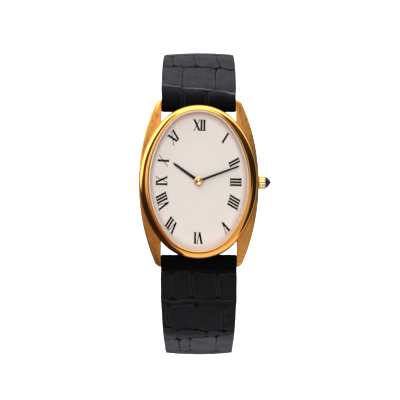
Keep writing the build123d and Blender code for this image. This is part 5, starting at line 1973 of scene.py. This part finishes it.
@dataclass
class Studio:
    """The floor, the lights, the surroundings and the camera.

    Attributes:
        target: The point that the camera looks at, across and along the dial.
        elevation: The camera's height over the horizon, in degrees.
        distance: The camera's distance from its target.
        pixel: The size of one pixel of the photograph at the dial.
        image_width: The photograph's width in pixels.
        floor_reach: Half the floor's width.
        floor_glow: The floor's own light, which keeps it white under the watch.
        lights: The soft lights' names, places, widths and powers, in watts.
        above: The room's dimming below the horizon.
        upper: The room's brightness, with the soft box past 12 o'clock.
        lower: What the soft box past 6 o'clock adds.
        walls: The dark walls at the crown's side and the other, by height and by side.
        wall_ends: Where the walls end past 12 and past 11 o'clock.
        wall_shade: The walls' share of the room's light.
        flags: The small dark flags past 12 o'clock.
        glint: The small bright box at the upper left.
        lens_shade: The share of the light that comes from beside the camera.
        screen: The small warm screen at the lower left.
        screen_colour: That screen's colour.
        room_colour: The colour of all other light.
    """

    target: Flat = (0.3 * MM, -4.45 * MM)
    elevation: float = 82.0
    distance: float = 285.0 * MM
    pixel: float = 0.2368 * MM
    image_width: int = 400
    floor_reach: float = 1.2
    floor_glow: float = 0.45
    lights: tuple[tuple[str, Point, float, float], ...] = (
        ("key_top", (-0.12, 0.34, 0.42), 0.40, 0.30),
        ("fill_front", (0.05, -0.45, 0.40), 0.45, 0.30), ("over", (0.0, 0.0, 0.75), 1.3, 6.1))
    above: Ease = Ease(UP, -0.14, 0.0, 0.25, 1.0)
    upper: Ease = Ease((-0.25, 0.95, 0.0), 0.1, 0.5, 0.62, 2.7)
    lower: Ease = Ease((0.2, -0.98, 0.0), 0.1, 0.8, 0.0, 0.6)
    walls: tuple[tuple[Ease, Ease], ...] = (
        (Ease(UP, 0.08, 0.22), Ease((1.0, 0.65, 0.0), 0.38, 0.48)),
        (Ease(UP, -0.45, -0.30), Ease((-1.0, -0.10, 0.0), 0.38, 0.48)))
    wall_ends: tuple[Ease, ...] = (Ease((0.0, 1.0, 0.0), 0.60, 0.80, 1.0, 0.0),
                                   Ease((-0.6, 0.8, 0.0), 0.58, 0.72, 1.0, 0.0))
    wall_shade: float = 0.04
    flags: tuple[Ease, ...] = (
        Ease.spot((-0.44, 0.44, 0.78), 17.0, 13.0), Ease.spot((-0.58, 0.28, 0.76), 16.5, 12.5),
        Ease.spot((0.30, 0.30, 0.905), 13.0, 9.0))
    glint: Ease = Ease.spot((-0.72, 0.62, 0.30), 26.0, 14.0, 0.0, 4.5)
    lens_shade: float = 0.15
    screen: Ease = Ease.spot((-0.27, -0.09, 0.96), 14.0, 9.0)
    screen_colour: Colour = (0.52, 0.17, 0.10)
    room_colour: Colour = (1.0, 0.985, 0.97)

    def build(self) -> None:
        """Make the studio."""
        self.make_camera()
        self.make_floor()
        for name, place, size, power in self.lights:
            self.make_light(name, place, size, power)
        self.make_surroundings()
        settings = bpy.context.scene.view_settings
        settings.view_transform = "Standard"
        settings.look = "None"

    def towards_lens(self) -> Point:
        """The direction from the watch to the camera."""
        tilt = math.radians(90 - self.elevation)
        return (0.0, -math.sin(tilt), math.cos(tilt))

    def make_camera(self) -> None:
        """Set the camera at the photograph's viewing angle."""
        data = bpy.data.cameras.new("camera")
        data.sensor_width = 36.0
        data.lens = data.sensor_width * self.distance / (self.pixel * self.image_width)
        data.clip_start = 10 * MM
        camera = linked("camera", data)
        aim = Vector((*self.target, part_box("dial")[1].z))
        camera.location = aim + Vector(self.towards_lens()) * self.distance
        camera.rotation_euler = (math.radians(90 - self.elevation), 0.0, 0.0)
        bpy.context.scene.camera = camera

    def make_floor(self) -> None:
        """Lay a plain pale floor under the strap."""
        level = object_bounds()[0][2] - 0.02 * MM
        reach = self.floor_reach
        floor = new_piece("floor", [(-reach, -reach, level), (reach, -reach, level),
                                    (reach, reach, level), (-reach, reach, level)],
                          [(0, 1, 2, 3)], smooth=False)
        bench = Bench(bpy.data.materials.new("pale_floor"))
        shader = bench.shader((0.93, 0.93, 0.93), 0.0, 0.8, Emission_Strength=self.floor_glow,
                              Emission_Color=(1.0, 1.0, 1.0, 1.0))
        floor.data.materials.append(bench.finish(shader))
        floor.visible_glossy = False
        floor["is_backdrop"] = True

    def make_light(self, name: str, place: Point, size: float, power: float) -> None:
        """Hang a square soft light that points at the watch.

        Args:
            name: The light's name.
            place: Where it hangs.
            size: Its side.
            power: Its power, in watts.
        """
        data = bpy.data.lights.new(name, "AREA")
        data.size = size
        data.energy = power
        lamp = linked(name, data)
        lamp.location = place
        lamp.rotation_euler = Vector(place).to_track_quat("Z", "Y").to_euler()
        lamp.visible_glossy = False

    def make_surroundings(self) -> None:
        """Surround the watch with soft boxes past 12 and 6 o'clock and dark walls at its sides."""
        sky = Sky(bpy.data.worlds.new("room"))
        bpy.context.scene.world = sky.owner
        walls = sky.maths("MAXIMUM", *(sky.maths("MULTIPLY", *map(sky.eased, wall))
                                       for wall in self.walls))
        walls = sky.maths("MULTIPLY", walls, *map(sky.eased, self.wall_ends))
        walls = sky.maths("MAXIMUM", walls, *map(sky.eased, self.flags))
        walls = sky.range(walls, 1.0, self.wall_shade, kind="SMOOTHSTEP")
        lens = Ease.spot(self.towards_lens(), 11.0, 6.0, 1.0, self.lens_shade)
        light = sky.maths("ADD", sky.eased(self.upper), sky.eased(self.lower))
        light = sky.maths("MULTIPLY", light, sky.eased(self.above), walls, sky.eased(lens))
        light = sky.maths("MAXIMUM", light, sky.eased(self.glint))
        tint = sky.add("MixRGB", {"Fac": sky.eased(self.screen), "Color1": (*self.room_colour, 1.0),
                                  "Color2": (*self.screen_colour, 1.0)})
        sky.finish(sky.add("Background", {"Color": tint.outputs["Color"], "Strength": light}),
                   "OutputWorld")


def main() -> None:
    """Build the watch's looks around the frame and the studio round them."""
    logging.basicConfig(level=logging.INFO, format="%(message)s")
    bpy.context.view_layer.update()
    Studio().build()
    ends, dial_ends = 0.4 * MM, 0.3 * MM
    across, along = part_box("bezel")[1][:2]
    bezel = Oval(across, along + ends)
    body = Oval(across - 0.45 * MM, along - 1.0 * MM)
    across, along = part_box("dial")[1][:2]
    dial = Oval(across, along + dial_ends)
    opening = Oval(dial.half_width - 0.3 * MM, dial.half_length - 0.15 * MM)
    cavity = Oval(opening.half_width + 0.4 * MM, opening.half_length + 0.3 * MM)
    Case(bezel, opening, body, cavity).build()
    Dial(dial).build()
    Crown().build()
    Strap().build()
    Movement().build()


if __name__ == "__main__":
    main()
